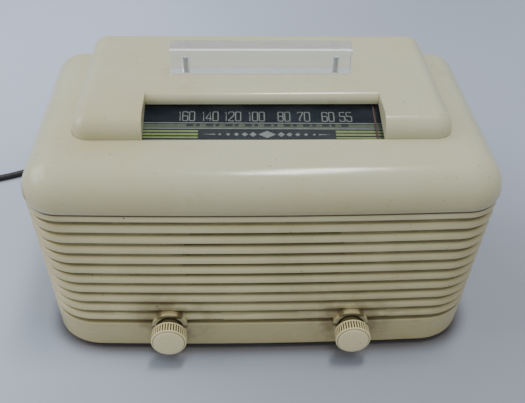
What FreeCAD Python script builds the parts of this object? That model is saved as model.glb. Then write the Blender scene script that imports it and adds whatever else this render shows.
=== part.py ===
"""Mains valve table radio: two-piece moulded cabinet, slide-rule dial, clear handle and chassis.

Millimetres.  +X is to the right seen from the front, +Y is towards the back, +Z is up.
The origin is on the standing surface, in the middle of the radio without its mains cord.
"""
import FreeCAD, Part
import math
import os

from FreeCAD import Vector

# Overall size
WIDTH = 317.0
DEPTH = 189.0
BACK = DEPTH / 2
KNOB_FACE = -DEPTH / 2

# Cabinet heights
FOOT_HEIGHT = 4.0
FLOOR_TOP = 7.5
BAND_TOP = 26.7
SEAM = 127.8
SEAM_GAP = 0.8
SHOULDER = 133.0
BODY_TOP = 158.6
HOOD_TOP = 173.6

# Cabinet outline
BASE_HALF_WIDTH = 152.6
BASE_FRONT = -73.8
DRAFT = 4.9
FRONT_CORNER = 36.7
FRONT_CORNER_AT_SEAM = 25.0
BACK_CORNER = 7.0
FRONT_BOW = 2.4
SHOULDER_ROLL = 23.8
SHOULDER_OVERHANG = 2.1
LOWER_WALL = 6.2
TOP_WALL = 3.4

# Ribs of the lower cabinet
RIB_PITCH = 9.25
GROOVE_WIDTH = 2.8
GROOVE_DEPTH = 3.0
RIB_COUNT = 11
RIB_ROUND = 2.5

# Sound slots, cut through the grooves in front of the loudspeaker
SLOT_ROUND = 54.0
SLOT_GROOVES = range(4, 10)

# Hood on top of the body
HOOD_HALF_WIDTH = 127.5
HOOD_FRONT = -35.4
HOOD_CORNER = 12.5
HOOD_ROLL = 12.0

# Dial: everything lies along a slope that rises from the front edge of the window
DIAL_HALF_WIDTH = 80.5
DIAL_FRAME = 3.4
DIAL_SLOPE = math.radians(14.0)
DIAL_FOOT_Y = -35.0
DIAL_FOOT_Z = 157.3
DIAL_LIP_Y = -1.5
DIAL_LIP_ROUND = 6.0
LENS_THICKNESS = 1.6
PLATE_DEPTH = 4.2
PLATE_THICKNESS = 1.6

# Handle
HANDLE_LENGTH = 129.0
HANDLE_WIDTH = 15.4
HANDLE_HEIGHT = 19.3
HANDLE_FRONT = 26.9
HANDLE_SCREW_X = 53.5
HANDLE_SCREW_RADIUS = 2.8
HANDLE_SCREW_REACH = 11.4
HANDLE_GAP = 0.05

# Controls
VOLUME_X = -66.5
TUNING_X = 63.5
CONTROL_Z = 27.4
KNOB_RADIUS = 12.4
KNOB_CAP_RADIUS = 11.3
KNOB_BACK = -84.8
KNOB_SLOTS = 40
SHAFT_RADIUS = 3.175
RUNNING_FIT = 0.05
COLLAR_RADIUS = 12.6
COLLAR_WALL = 2.6
COLLAR_FRONT = -78.6

# Chassis
CHASSIS_HALF_WIDTH = 126.0
CHASSIS_FRONT = -60.0
CHASSIS_BACK = 78.0
CHASSIS_BOTTOM = 12.0
CHASSIS_TOP = 41.0
SHEET = 1.2

# Dial drive: a cord loop in one plane runs over the drum, two pulleys and the tuning shaft
STRING_Y = 6.0
STRING_RADIUS = 0.4
STRING_GAP = 0.3
DRUM_X = 104.0
DRUM_Z = 89.5
DRUM_RUN_RADIUS = 43.3
PULLEY_X = 91.0
PULLEY_Z = 150.0
PULLEY_RUN_RADIUS = 5.4
SHAFT_RUN_RADIUS = SHAFT_RADIUS + STRING_GAP + STRING_RADIUS
POINTER_REST_X = 77.0

# Loudspeaker
SPEAKER_Z = 91.0
SPEAKER_RADIUS = 47.0
BAFFLE_FRONT = -68.5
BAFFLE_BACK = -65.5

# Valves: name, x, glass radius, glass height
VALVES = (
    ("converter_tube", 12.0, 14.5, 52.0),
    ("if_amplifier_tube", -30.0, 14.5, 52.0),
    ("detector_tube", -72.0, 14.5, 52.0),
    ("output_tube", -112.0, 15.5, 62.0),
    ("rectifier_tube", 54.0, 15.5, 62.0),
)
VALVE_Y = 62.0
SOCKET_RADIUS = 17.0
SOCKET_TOP = CHASSIS_TOP + 4.0
VALVE_BASE_TOP = SOCKET_TOP + 14.0

# Back panel and mains cord
PANEL_FRONT = 91.0
PANEL_BACK = 93.2
CORD_RADIUS = 2.5
CORD_EXIT_X = -100.0
CORD_EXIT_Z = 22.0
RELIEF_TIP = 123.0
COIL_CENTRE = (-296.0, 92.0)
COIL_MID_RADIUS = 30.0
COIL_ACROSS = 4
COIL_LAYERS = 2
PLUG_AXIS_Z = 11.0
BLADE_SPACING = 12.7

# Route of the cord from the strain relief to the coil
CORD_ROUTE = (
    (-100.0, 123.0, 22.0),
    (-100.5, 139.0, 20.5),
    (-105.0, 156.0, 14.0),
    (-117.0, 171.0, 6.0),
    (-137.0, 180.5, 2.7),
    (-166.0, 178.0, 2.6),
    (-197.0, 165.0, 2.6),
    (-226.0, 147.5, 2.6),
    (-257.0, 137.0, 2.6),
    (-286.0, 133.5, 2.6),
    (-307.6, 127.7, 2.6),
)


# ---------------------------------------------------------------- helpers
def box(x0, x1, y0, y1, z0, z1):
    return Part.makeBox(x1 - x0, y1 - y0, z1 - z0, Vector(x0, y0, z0))


def rod_y(radius, y0, y1, x, z):
    return Part.makeCylinder(radius, y1 - y0, Vector(x, y0, z), Vector(0, 1, 0))


def rod_z(radius, z0, z1, x, y):
    return Part.makeCylinder(radius, z1 - z0, Vector(x, y, z0))


def tube_y(outer, inner, y0, y1, x, z):
    return rod_y(outer, y0, y1, x, z).cut(rod_y(inner, y0 - 1, y1 + 1, x, z))


def turned_y(profile, x, z):
    """Solid turned about a line along Y; profile holds (radius, y) corners."""
    points = [Vector(x + radius, y, z) for radius, y in profile]
    face = Part.Face(Part.makePolygon(points + points[:1]))
    return face.revolve(Vector(x, 0, z), Vector(0, 1, 0), 360)


def turned_z(profile, x, y):
    """Solid turned about a line along Z; profile holds (radius, z) corners."""
    points = [Vector(x + radius, y, z) for radius, z in profile]
    face = Part.Face(Part.makePolygon(points + points[:1]))
    return face.revolve(Vector(x, y, 0), Vector(0, 0, 1), 360)


def edges_where(shape, test):
    """Edges whose two ends both pass the test."""
    return [edge for edge in shape.Edges if all(test(vertex.Point) for vertex in edge.Vertexes)]


def rounded_prism(half_width, y0, y1, z0, z1, corner):
    """Upright prism with four equal round corners."""
    block = box(-half_width, half_width, y0, y1, z0, z1)
    uprights = [edge for edge in block.Edges if abs(edge.tangentAt(edge.FirstParameter).z) > 0.9]
    return block.makeFillet(corner, uprights)


def save(name, shape):
    if not shape.isValid():
        raise ValueError(name + " is not a valid solid")
    shape.exportStep(os.path.join("parts", name + ".step"))
    print("%-26s solids %2d  volume %10.1f" % (name, len(shape.Solids), shape.Volume))


# ---------------------------------------------------------------- cabinet outline
def lean(z):
    """How far the drafted walls stand out at a height, over their place at the base."""
    return DRAFT * (z - FOOT_HEIGHT) / (SEAM - FOOT_HEIGHT)


def front_corner(z):
    """Radius of the front corners in plan, which grow tighter from the base up to the seam."""
    return FRONT_CORNER + (FRONT_CORNER_AT_SEAM - FRONT_CORNER) * (z - FOOT_HEIGHT) / (SEAM - FOOT_HEIGHT)


def outline(half_width, front, back, corner, z, back_corner=BACK_CORNER):
    """Plan of the cabinet: bowed front, large front corners, small back corners."""
    chord = half_width - corner
    bow_radius = (chord ** 2 + FRONT_BOW ** 2) / (2 * FRONT_BOW)
    bow_y = front + bow_radius
    corner_y = bow_y - math.sqrt((bow_radius - corner) ** 2 - chord ** 2)
    reach = bow_radius / (bow_radius - corner)
    meet_x = chord * reach
    meet_y = bow_y - (bow_y - corner_y) * reach
    middle = -math.acos(chord / (bow_radius - corner)) / 2
    bend_x = chord + corner * math.cos(middle)
    bend_y = corner_y + corner * math.sin(middle)
    inset = back_corner * (1 - math.sqrt(0.5))

    def at(x, y):
        return Vector(x, y, z)

    edges = [
        Part.LineSegment(at(half_width, back - back_corner), at(half_width, corner_y)),
        Part.Arc(at(half_width, corner_y), at(bend_x, bend_y), at(meet_x, meet_y)),
        Part.Arc(at(meet_x, meet_y), at(0, front), at(-meet_x, meet_y)),
        Part.Arc(at(-meet_x, meet_y), at(-bend_x, bend_y), at(-half_width, corner_y)),
        Part.LineSegment(at(-half_width, corner_y), at(-half_width, back - back_corner)),
        Part.Arc(at(-half_width, back - back_corner), at(-half_width + inset, back - inset),
                 at(-half_width + back_corner, back)),
        Part.LineSegment(at(-half_width + back_corner, back), at(half_width - back_corner, back)),
        Part.Arc(at(half_width - back_corner, back), at(half_width - inset, back - inset),
                 at(half_width, back - back_corner)),
    ]
    return Part.Wire([edge.toShape() for edge in edges])


def lower_outline(z, inset, back=BACK):
    """Plan of the lower cabinet at a height, moved in by inset."""
    out = lean(z) - inset
    return outline(BASE_HALF_WIDTH + out, BASE_FRONT - out, back, front_corner(z) - inset, z)


def lower_block(z0, z1, inset, back=BACK):
    return Part.makeLoft([lower_outline(z0, inset, back), lower_outline(z1, inset, back)], True, True)


def rib(z0, z1):
    """One rib ring: a slab of the cabinet's plan with both outer edges rounded."""
    middle = (z0 + z1) / 2
    out = lean(middle)
    wire = outline(BASE_HALF_WIDTH + out, BASE_FRONT - out, BACK, front_corner(middle), z0)
    slab = Part.Face(wire).extrude(Vector(0, 0, z1 - z0))
    level = [edge for edge in slab.Edges
             if abs(edge.Vertexes[0].Z - edge.Vertexes[-1].Z) < 0.01
             and edge.CenterOfMass.y < BACK - 0.01]
    return slab.makeFillet(RIB_ROUND, level)


def groove_z(index):
    """Middle height of a groove; groove 0 is the one above the base band."""
    return BAND_TOP + GROOVE_WIDTH / 2 + RIB_PITCH * index


def skirt_block(inset, back):
    """The top cover's short drafted edge, from the seam up to the shoulder."""
    corner = FRONT_CORNER_AT_SEAM + SHOULDER_OVERHANG - inset
    low_half = BASE_HALF_WIDTH + DRAFT + 0.4 - inset
    low_front = BASE_FRONT - DRAFT - 0.4 + inset
    half = WIDTH / 2 - inset
    front = BASE_FRONT - DRAFT - SHOULDER_OVERHANG + inset
    return Part.makeLoft([outline(low_half, low_front, back, corner, SEAM + SEAM_GAP),
                          outline(half, front, back, corner, SHOULDER)], True, True)


def roll_block(inset, back):
    """The top cover's body above the shoulder, with a large roll to its flat top."""
    half = WIDTH / 2 - inset
    front = BASE_FRONT - DRAFT - SHOULDER_OVERHANG + inset
    corner = FRONT_CORNER_AT_SEAM + SHOULDER_OVERHANG - inset
    top = BODY_TOP - inset
    block = Part.Face(outline(half, front, back, corner, SHOULDER, 30.0))
    block = block.extrude(Vector(0, 0, top - SHOULDER))
    return block.makeFillet(SHOULDER_ROLL - inset, edges_where(block, lambda p: p.z > top - 0.01))


def hood_volume(inset):
    """Raised middle of the top cover; it runs past the back plane, where it is cut off."""
    block = rounded_prism(HOOD_HALF_WIDTH - inset, HOOD_FRONT + inset, BACK + 60,
                          SHOULDER, HOOD_TOP - inset, HOOD_CORNER - inset)
    top = HOOD_TOP - inset
    return block.makeFillet(HOOD_ROLL - inset, edges_where(block, lambda p: p.z > top - 0.01))


def slope_point(along, above, x=0.0):
    """Point in the dial's own frame: along the slope, and above the face of the lens."""
    y = DIAL_FOOT_Y + along * math.cos(DIAL_SLOPE) - above * math.sin(DIAL_SLOPE)
    z = DIAL_FOOT_Z + along * math.sin(DIAL_SLOPE) + above * math.cos(DIAL_SLOPE)
    return Vector(x, y, z)


def slope_slab(half_width, along0, along1, above0, above1, x=0.0):
    """Block whose faces follow the dial's slope."""
    corners = [slope_point(along0, above0, x - half_width), slope_point(along1, above0, x - half_width),
               slope_point(along1, above1, x - half_width), slope_point(along0, above1, x - half_width)]
    face = Part.Face(Part.makePolygon(corners + corners[:1]))
    return face.extrude(Vector(2 * half_width, 0, 0))


# ---------------------------------------------------------------- cabinet parts
PANEL_POSTS_LOW = ((-143.6, 16.0), (143.6, 16.0))
PANEL_POSTS_HIGH = ((-151.8, 134.0), (151.8, 134.0), (-110.0, 165.8), (110.0, 165.8))
COVER_POSTS = ((-146.3, -20.0), (146.3, -20.0), (-146.3, 66.0), (146.3, 66.0))
CHASSIS_POSTS = ((-112.0, -54.0), (112.0, -54.0), (-112.0, 72.0), (112.0, 72.0))
FEET = ((-124.0, -46.0), (124.0, -46.0), (-124.0, 70.0), (124.0, 70.0))
SCREW_HOLE = 1.6
SCREW_SHANK = 1.5


def sound_slot(index):
    """Slot through one groove; its ends follow the round of the loudspeaker."""
    z = groove_z(index)
    half = math.sqrt(SLOT_ROUND ** 2 - (z - (SPEAKER_Z - 3.0)) ** 2)
    radius = GROOVE_WIDTH / 2 - 0.1
    y0, y1 = BASE_FRONT - 12, BASE_FRONT + 12
    bar = box(-half, half, y0, y1, z - radius, z + radius)
    return bar.multiFuse([rod_y(radius, y0, y1, side * half, z) for side in (-1, 1)])


def lower_cabinet():
    base = lower_block(FOOT_HEIGHT, BAND_TOP, 0.0)
    base = base.makeFillet(1.2, [edge for edge in base.Edges
                                 if abs(edge.Vertexes[0].Z - edge.Vertexes[-1].Z) < 0.01
                                 and edge.CenterOfMass.y < BACK - 0.01])
    core = lower_block(BAND_TOP - 5, SEAM - 0.4, GROOVE_DEPTH)
    ribs = []
    for index in range(RIB_COUNT):
        low = groove_z(index) + GROOVE_WIDTH / 2
        ribs.append(rib(low, min(low + RIB_PITCH - GROOVE_WIDTH, SEAM)))
    collars = [rod_y(COLLAR_RADIUS, COLLAR_FRONT, BASE_FRONT + 4, x, CONTROL_Z)
               for x in (VOLUME_X, TUNING_X)]
    shell = base.multiFuse([core] + ribs + collars)

    cavity = lower_block(FLOOR_TOP, SEAM + 5, LOWER_WALL, BACK + 20)
    slots = [sound_slot(index) for index in SLOT_GROOVES]
    recesses = [rod_y(COLLAR_RADIUS - COLLAR_WALL, COLLAR_FRONT - 1, COLLAR_FRONT + 3.6, x, CONTROL_Z)
                for x in (VOLUME_X, TUNING_X)]
    shaft_holes = [rod_y(5.2, COLLAR_FRONT - 1, BASE_FRONT + 12, x, CONTROL_Z)
                   for x in (VOLUME_X, TUNING_X)]
    shell = shell.cut([cavity] + slots + recesses + shaft_holes)

    panel_posts = [rod_y(4.8, 70.0, PANEL_FRONT, x, z) for x, z in PANEL_POSTS_LOW]
    cover_posts = [rod_z(4.8, 92.0, SEAM, x, y) for x, y in COVER_POSTS]
    chassis_posts = [rod_z(6.0, FOOT_HEIGHT + 1, CHASSIS_BOTTOM, x, y) for x, y in CHASSIS_POSTS]
    inside = lower_block(FOOT_HEIGHT + 0.5, SEAM, GROOVE_DEPTH + 0.6)
    posts = [post.common(inside) for post in panel_posts + cover_posts + chassis_posts]
    shell = shell.multiFuse(posts)

    holes = [rod_y(SCREW_HOLE, 72.0, PANEL_FRONT + 1, x, z) for x, z in PANEL_POSTS_LOW]
    for x, y in COVER_POSTS:
        holes.append(rod_z(SCREW_HOLE, 90.0, SEAM + 1, x, y))
    for x, y in CHASSIS_POSTS:
        holes.append(rod_z(SCREW_HOLE, 0.0, CHASSIS_BOTTOM + 1, x, y))
        holes.append(rod_z(3.8, 0.0, FOOT_HEIGHT + 2.2, x, y))
    for x, y in FEET:
        holes.append(rod_z(2.1, 0.0, FLOOR_TOP + 1, x, y))
    for row in range(5):
        y = -30.0 + row * 16.0
        holes.append(box(-70, -10, y - 2.5, y + 2.5, 0, FLOOR_TOP + 1))
        holes.append(box(10, 70, y - 2.5, y + 2.5, 0, FLOOR_TOP + 1))
    return shell.cut(holes)


def rounded_back(block, radius):
    """Cut a long block off at the back plane and round the edge that this leaves."""
    reach = 200.0
    block = block.cut(box(-reach, reach, BACK, BACK + reach, 0, reach))
    rear = edges_where(block, lambda p: abs(p.y - BACK) < 0.01)
    rear = [edge for edge in rear if edge.CenterOfMass.z > SHOULDER + 0.05]
    return block.makeFillet(radius, rear)


def dial_window(outer):
    """Solid frame round the window, and the space that is cut out of the hood above the lens."""
    frame = slope_slab(DIAL_HALF_WIDTH + DIAL_FRAME, -8.0, 42.0, 0.15, 30.0)
    frame = frame.common(box(-100, 100, -60, DIAL_LIP_Y + TOP_WALL, 140, HOOD_TOP + 5))
    frame = frame.common(outer)
    lip_top = DIAL_LIP_Y + DIAL_LIP_ROUND
    opening = slope_slab(DIAL_HALF_WIDTH, -0.3, 60.0, 0.15, 40.0)
    opening = opening.common(box(-100, 100, -60, lip_top, 140, HOOD_TOP + 5))
    roll = box(-100, 100, DIAL_LIP_Y, lip_top + 1, 140, HOOD_TOP - DIAL_LIP_ROUND)
    round_lip = Part.makeCylinder(DIAL_LIP_ROUND, 200, Vector(-100, lip_top, HOOD_TOP - DIAL_LIP_ROUND),
                                  Vector(1, 0, 0))
    opening = opening.cut(roll).cut(round_lip)
    pocket = slope_slab(DIAL_HALF_WIDTH + 3.6, -0.3, 45.0, -9.0, 0.15)
    return frame, opening, pocket


def top_cover():
    outer = rounded_back(roll_block(0.0, BACK + 60), BACK_CORNER)
    outer = outer.multiFuse([skirt_block(0.0, BACK), rounded_back(hood_volume(0.0), BACK_CORNER)])

    inner_skirt = skirt_block(TOP_WALL, BACK + 60)
    inner_roll = roll_block(TOP_WALL, BACK + 60)
    inner_hood = hood_volume(TOP_WALL)
    below = box(-150, 150, -50, BACK + 60, SEAM - 5, SHOULDER + 5)
    shell = outer.cut([inner_skirt, inner_roll, inner_hood, below])

    frame, opening, pocket = dial_window(outer)
    shell = shell.fuse(frame).cut([opening, pocket])

    tongue = lower_block(SEAM - 5, SEAM + 4, LOWER_WALL + 0.3).cut(
        lower_block(SEAM - 6, SEAM + 6, LOWER_WALL + 2.6, BACK + 20))
    tongue = tongue.cut([box(-75, 75, -100, 0, 100, 150), box(-200, 200, BACK - 8, 200, 100, 150)])
    tongue = tongue.cut([rod_z(5.4, 100, SEAM + SEAM_GAP, x, y) for x, y in COVER_POSTS])
    ledge = lower_block(SEAM + SEAM_GAP, SEAM + 4, 1.0).cut(
        lower_block(SEAM, SEAM + 6, LOWER_WALL + 2.6, BACK + 20))
    ledge = ledge.cut(box(-200, 200, BACK - 8, 200, 100, 150))
    posts = [rod_z(4.8, SEAM + SEAM_GAP, 142.0, x, y) for x, y in COVER_POSTS]
    posts += [rod_y(4.8, 70.0, PANEL_FRONT, x, z) for x, z in PANEL_POSTS_HIGH]
    posts = [post.common(outer) for post in posts]
    shell = shell.multiFuse([tongue, ledge] + posts)

    holes = [rod_y(SCREW_HOLE, 72.0, PANEL_FRONT + 1, x, z) for x, z in PANEL_POSTS_HIGH]
    holes += [rod_z(SCREW_HOLE, SEAM - 1, 140.0, x, y) for x, y in COVER_POSTS]
    holes += [rod_z(SCREW_HOLE, 160.0, HOOD_TOP - 1.2, x, BRACKET_SCREW_Y) for x in BRACKET_SCREWS]
    handle_y = HANDLE_FRONT + HANDLE_WIDTH / 2
    holes += [rod_z(HANDLE_SCREW_RADIUS + 0.3, 160.0, HOOD_TOP + 2, side * HANDLE_SCREW_X, handle_y)
              for side in (-1, 1)]
    return shell.cut(holes).removeSplitter()


def pan_screw_y(x, z, head_y, tip_y):
    """Screw along Y: a low domed head on the back of what it holds, and a shank into it."""
    head = turned_y([(0, head_y), (3.1, head_y), (2.6, head_y + 0.9), (1.2, head_y + 1.2),
                     (0, head_y + 1.25)], x, z)
    slot = box(x - 4, x + 4, head_y + 0.7, head_y + 2, z - 0.4, z + 0.4)
    return head.cut(slot).fuse(rod_y(SCREW_SHANK, tip_y, head_y, x, z))


def screw_up(x, y, head_z, tip_z, head_radius=3.2, shank=SCREW_SHANK):
    """Screw that points up, with its slotted head below."""
    head = rod_z(head_radius, head_z - 1.8, head_z, x, y)
    slot = box(x - 4, x + 4, y - 0.4, y + 0.4, head_z - 3, head_z - 1.2)
    return head.cut(slot).fuse(rod_z(shank, head_z, tip_z, x, y))


def group(shapes):
    return Part.makeCompound(shapes)


def rubber_feet():
    feet = []
    for x, y in FEET:
        pad = turned_z([(0, 0), (7.2, 0), (8.0, 0.8), (7.4, FOOT_HEIGHT), (2.0, FOOT_HEIGHT),
                        (2.0, FLOOR_TOP), (3.4, FLOOR_TOP), (1.6, FLOOR_TOP + 2.5), (0, FLOOR_TOP + 2.5)],
                       x, y)
        feet.append(pad)
    return group(feet)


def back_panel():
    """Pressed board that fills the back, with rows of vent holes and a hole for the cord."""
    clear = 0.5
    low = lower_block(FLOOR_TOP + clear, SEAM + 6, LOWER_WALL + clear, BACK + 20)
    inset = TOP_WALL + clear
    above = [skirt_block(inset, BACK + 60), roll_block(inset, BACK + 60), hood_volume(inset)]
    slab = box(-200, 200, PANEL_FRONT, PANEL_BACK, 0, 200)
    board = low.multiFuse(above).common(slab).removeSplitter()
    holes = [rod_y(SCREW_HOLE, 80, 100, x, z) for x, z in PANEL_POSTS_LOW + PANEL_POSTS_HIGH]
    holes.append(rod_y(6.0, 80, 100, CORD_EXIT_X, CORD_EXIT_Z))
    for row in range(4):
        for column in range(15):
            x = (column - 7) * 15.0
            holes.append(rod_y(3.2, 80, 100, x, 146.0 - row * 13.0))
    for column in range(12):
        holes.append(rod_y(3.2, 80, 100, (column - 4.5) * 15.0, 24.0))
    return board.cut(holes)


def back_panel_screws():
    return group([pan_screw_y(x, z, PANEL_BACK, 80.0) for x, z in PANEL_POSTS_LOW + PANEL_POSTS_HIGH])


def handle():
    """Solid clear bar with polished, slightly rounded edges and two blind screw holes."""
    half = HANDLE_LENGTH / 2
    foot = HOOD_TOP + HANDLE_GAP
    bar = box(-half, half, HANDLE_FRONT, HANDLE_FRONT + HANDLE_WIDTH, foot, HOOD_TOP + HANDLE_HEIGHT)
    upper = [edge for edge in bar.Edges if edge.CenterOfMass.z > HOOD_TOP + 1]
    bar = bar.makeFillet(1.3, upper)
    y = HANDLE_FRONT + HANDLE_WIDTH / 2
    bore = HANDLE_SCREW_RADIUS + 0.1
    bore_end = HOOD_TOP + HANDLE_SCREW_REACH + 0.2
    return bar.cut([rod_z(bore, HOOD_TOP - 1, bore_end, side * HANDLE_SCREW_X, y) for side in (-1, 1)])


def handle_screws():
    y = HANDLE_FRONT + HANDLE_WIDTH / 2
    ceiling = HOOD_TOP - TOP_WALL
    tip = HOOD_TOP + HANDLE_SCREW_REACH
    return group([screw_up(side * HANDLE_SCREW_X, y, ceiling, tip, 4.9, HANDLE_SCREW_RADIUS)
                  for side in (-1, 1)])


def cabinet_screws():
    """Hidden screws: four up into the top cover, four into the chassis, two for the dial bracket."""
    screws = [screw_up(x, y, 92.0, 138.0) for x, y in COVER_POSTS]
    screws += [screw_up(x, y, FOOT_HEIGHT + 2.2, CHASSIS_BOTTOM + SHEET + 2.0) for x, y in CHASSIS_POSTS]
    bracket_head = HOOD_TOP - TOP_WALL - SHEET
    screws += [screw_up(x, BRACKET_SCREW_Y, bracket_head, HOOD_TOP - 1.6) for x in BRACKET_SCREWS]
    return group(screws)


# ---------------------------------------------------------------- dial
BRACKET_SCREWS = (-84.0, 84.0)
BRACKET_SCREW_Y = 18.0
BRACKET_Y = 9.5
LENS_TOP = 38.5


def dial_lens():
    return slope_slab(DIAL_HALF_WIDTH + 3.3, 0.0, LENS_TOP, -LENS_THICKNESS, 0.0)


def dial_plate():
    return slope_slab(DIAL_HALF_WIDTH + 3.3, 0.0, LENS_TOP, -PLATE_DEPTH - PLATE_THICKNESS, -PLATE_DEPTH)


def dial_bracket():
    """Folded steel strip under the hood that carries the pulleys and the lamp."""
    ceiling = HOOD_TOP - TOP_WALL
    web = box(-100, 100, BRACKET_Y, BRACKET_Y + SHEET, 140, ceiling)
    flange = box(-100, 100, BRACKET_Y, 26, ceiling - SHEET, ceiling)
    holes = [rod_z(SCREW_HOLE, 160, 180, x, BRACKET_SCREW_Y) for x in BRACKET_SCREWS]
    holes += [rod_y(1.6, 0, 30, side * PULLEY_X, PULLEY_Z) for side in (-1, 1)]
    holes.append(rod_y(4.6, 0, 30, LAMP_X, LAMP_Z))
    screw_y = HANDLE_FRONT + HANDLE_WIDTH / 2
    holes += [rod_z(6.0, 160, 180, side * HANDLE_SCREW_X, screw_y) for side in (-1, 1)]
    return web.fuse(flange).removeSplitter().cut(holes)


def pulley_studs():
    studs = []
    for side in (-1, 1):
        x = side * PULLEY_X
        stud = rod_y(1.5, 2.9, BRACKET_Y + SHEET, x, PULLEY_Z)
        head = rod_y(2.6, 2.0, 3.0, x, PULLEY_Z)
        spacer = rod_y(2.6, 8.3, BRACKET_Y, x, PULLEY_Z)
        studs.append(stud.multiFuse([head, spacer]))
    return group(studs)


def pulley(x):
    groove = PULLEY_RUN_RADIUS - STRING_GAP - STRING_RADIUS
    rim = PULLEY_RUN_RADIUS + 1.0
    bore = 1.5 + RUNNING_FIT
    profile = [(bore, 3.9), (rim, 3.9), (rim, 4.5), (groove, 5.3), (groove, 6.7), (rim, 7.5),
               (rim, 8.1), (bore, 8.1)]
    return turned_y(profile, x, PULLEY_Z)


def string_loop():
    """Closed cord loop round the drum, the two pulleys and the tuning shaft."""
    wheels = ((DRUM_X, DRUM_Z, DRUM_RUN_RADIUS), (PULLEY_X, PULLEY_Z, PULLEY_RUN_RADIUS),
              (-PULLEY_X, PULLEY_Z, PULLEY_RUN_RADIUS), (TUNING_X, CONTROL_Z, SHAFT_RUN_RADIUS))
    count = len(wheels)
    normals = []
    for index, (x, z, radius) in enumerate(wheels):
        next_x, next_z, next_radius = wheels[(index + 1) % count]
        span = math.hypot(next_x - x, next_z - z)
        heading = math.atan2(next_z - z, next_x - x)
        normals.append(heading - math.pi / 2 + math.asin((radius - next_radius) / span))

    def touch(wheel, angle):
        x, z, radius = wheel
        return Vector(x + radius * math.cos(angle), STRING_Y, z + radius * math.sin(angle))

    edges = []
    for index, wheel in enumerate(wheels):
        arrive = normals[index - 1]
        leave = normals[index]
        while leave < arrive:
            leave += 2 * math.pi
        start = touch(wheel, arrive)
        edges.append(Part.Arc(start, touch(wheel, (arrive + leave) / 2), touch(wheel, leave)).toShape())
        following = touch(wheels[(index + 1) % count], normals[index])
        edges.append(Part.LineSegment(touch(wheel, leave), following).toShape())
    return Part.Wire(edges)


def dial_string():
    path = string_loop()
    start = path.Edges[0].Vertexes[0].Point
    direction = path.Edges[0].tangentAt(path.Edges[0].FirstParameter)
    section = Part.Wire([Part.makeCircle(STRING_RADIUS, start, direction)])
    return path.makePipeShell([section], True, False)


def dial_pointer():
    """Thin needle between lens and plate, an arm over the plate's top edge and a string clip."""
    x = POINTER_REST_X
    needle = slope_slab(0.6, 2.0, 42.0, -3.3, -2.5, x)
    foot = slope_slab(2.5, 39.2, 42.0, -3.3, -2.5, x)
    top = slope_point(42.0, -3.3)
    arm = box(x - 2.5, x + 2.5, 5.2, 6.0, 157.4, top.z + 0.5)
    bridge = box(x - 2.5, x + 2.5, top.y - 1.5, 6.0, top.z - 0.5, top.z + 0.5)
    saddle = box(x - 3.5, x + 3.5, 4.4, 7.6, 156.4, 157.6)
    jaws = [box(x - 3.5, x + 3.5, y, y + 0.8, 154.4, 157.0) for y in (4.4, 6.8)]
    return needle.multiFuse([foot, arm, bridge, saddle] + jaws).removeSplitter()


LAMP_X = 40.0
LAMP_Z = 147.0


def lamp_socket():
    return tube_y(4.5, 2.0, -1.0, 16.0, LAMP_X, LAMP_Z).fuse(
        rod_y(4.5, 10.0, 16.0, LAMP_X, LAMP_Z)).removeSplitter()


def dial_lamp():
    bulb = Part.makeSphere(4.0, Vector(LAMP_X, -8.0, LAMP_Z))
    return bulb.fuse(rod_y(1.9, -8.0, 4.0, LAMP_X, LAMP_Z))


# ---------------------------------------------------------------- chassis
def chassis():
    """Folded steel chassis, open below, with feet that sit on the cabinet's posts."""
    half = CHASSIS_HALF_WIDTH
    shell = box(-half, half, CHASSIS_FRONT, CHASSIS_BACK, CHASSIS_BOTTOM, CHASSIS_TOP)
    hollow = box(-half + SHEET, half - SHEET, CHASSIS_FRONT + SHEET, CHASSIS_BACK - SHEET,
                 CHASSIS_BOTTOM - 1, CHASSIS_TOP - SHEET)
    shell = shell.cut(hollow)
    feet = [box(-half, half, CHASSIS_FRONT, CHASSIS_FRONT + 13, CHASSIS_BOTTOM, CHASSIS_BOTTOM + SHEET),
            box(-half, half, CHASSIS_BACK - 13, CHASSIS_BACK, CHASSIS_BOTTOM, CHASSIS_BOTTOM + SHEET)]
    hanger = box(TUNING_X - 12, TUNING_X + 12, 13.0, 13.0 + SHEET, 14.0, CHASSIS_TOP)
    shell = shell.multiFuse(feet + [hanger]).removeSplitter()
    holes = [rod_y(SHAFT_RADIUS + RUNNING_FIT, 10, 20, TUNING_X, CONTROL_Z)]
    holes += [rod_y(5.0, CHASSIS_FRONT - 5, CHASSIS_FRONT + 5, x, CONTROL_Z) for x in (VOLUME_X, TUNING_X)]
    holes += [rod_z(SCREW_HOLE, 0, CHASSIS_BOTTOM + 3, x, y) for x, y in CHASSIS_POSTS]
    holes += [rod_z(12.5, CHASSIS_TOP - 4, CHASSIS_TOP + 4, x, VALVE_Y) for _, x, _, _ in VALVES]
    holes.append(box(36, 116, 2.5, 9.5, CHASSIS_TOP - 4, CHASSIS_TOP + 4))
    return shell.cut(holes)


def tube_sockets():
    sockets = []
    for _, x, _, _ in VALVES:
        plate = rod_z(SOCKET_RADIUS, CHASSIS_TOP, SOCKET_TOP, x, VALVE_Y)
        under = rod_z(12.2, CHASSIS_TOP - 6.0, CHASSIS_TOP, x, VALVE_Y)
        sockets.append(plate.fuse(under))
    return group(sockets)


def tube_bases():
    bases = []
    for _, x, radius, _ in VALVES:
        rim = radius + 0.4
        bases.append(turned_z([(0, SOCKET_TOP), (rim - 1.5, SOCKET_TOP), (rim, SOCKET_TOP + 2),
                               (rim, VALVE_BASE_TOP), (0, VALVE_BASE_TOP)], x, VALVE_Y))
    return group(bases)


def envelope(x, radius, low, top):
    """Straight cylinder with a domed top."""
    straight = rod_z(radius, low, top, x, VALVE_Y)
    return straight.makeFillet(0.55 * radius, edges_where(straight, lambda p: p.z > top - 0.01))


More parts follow.
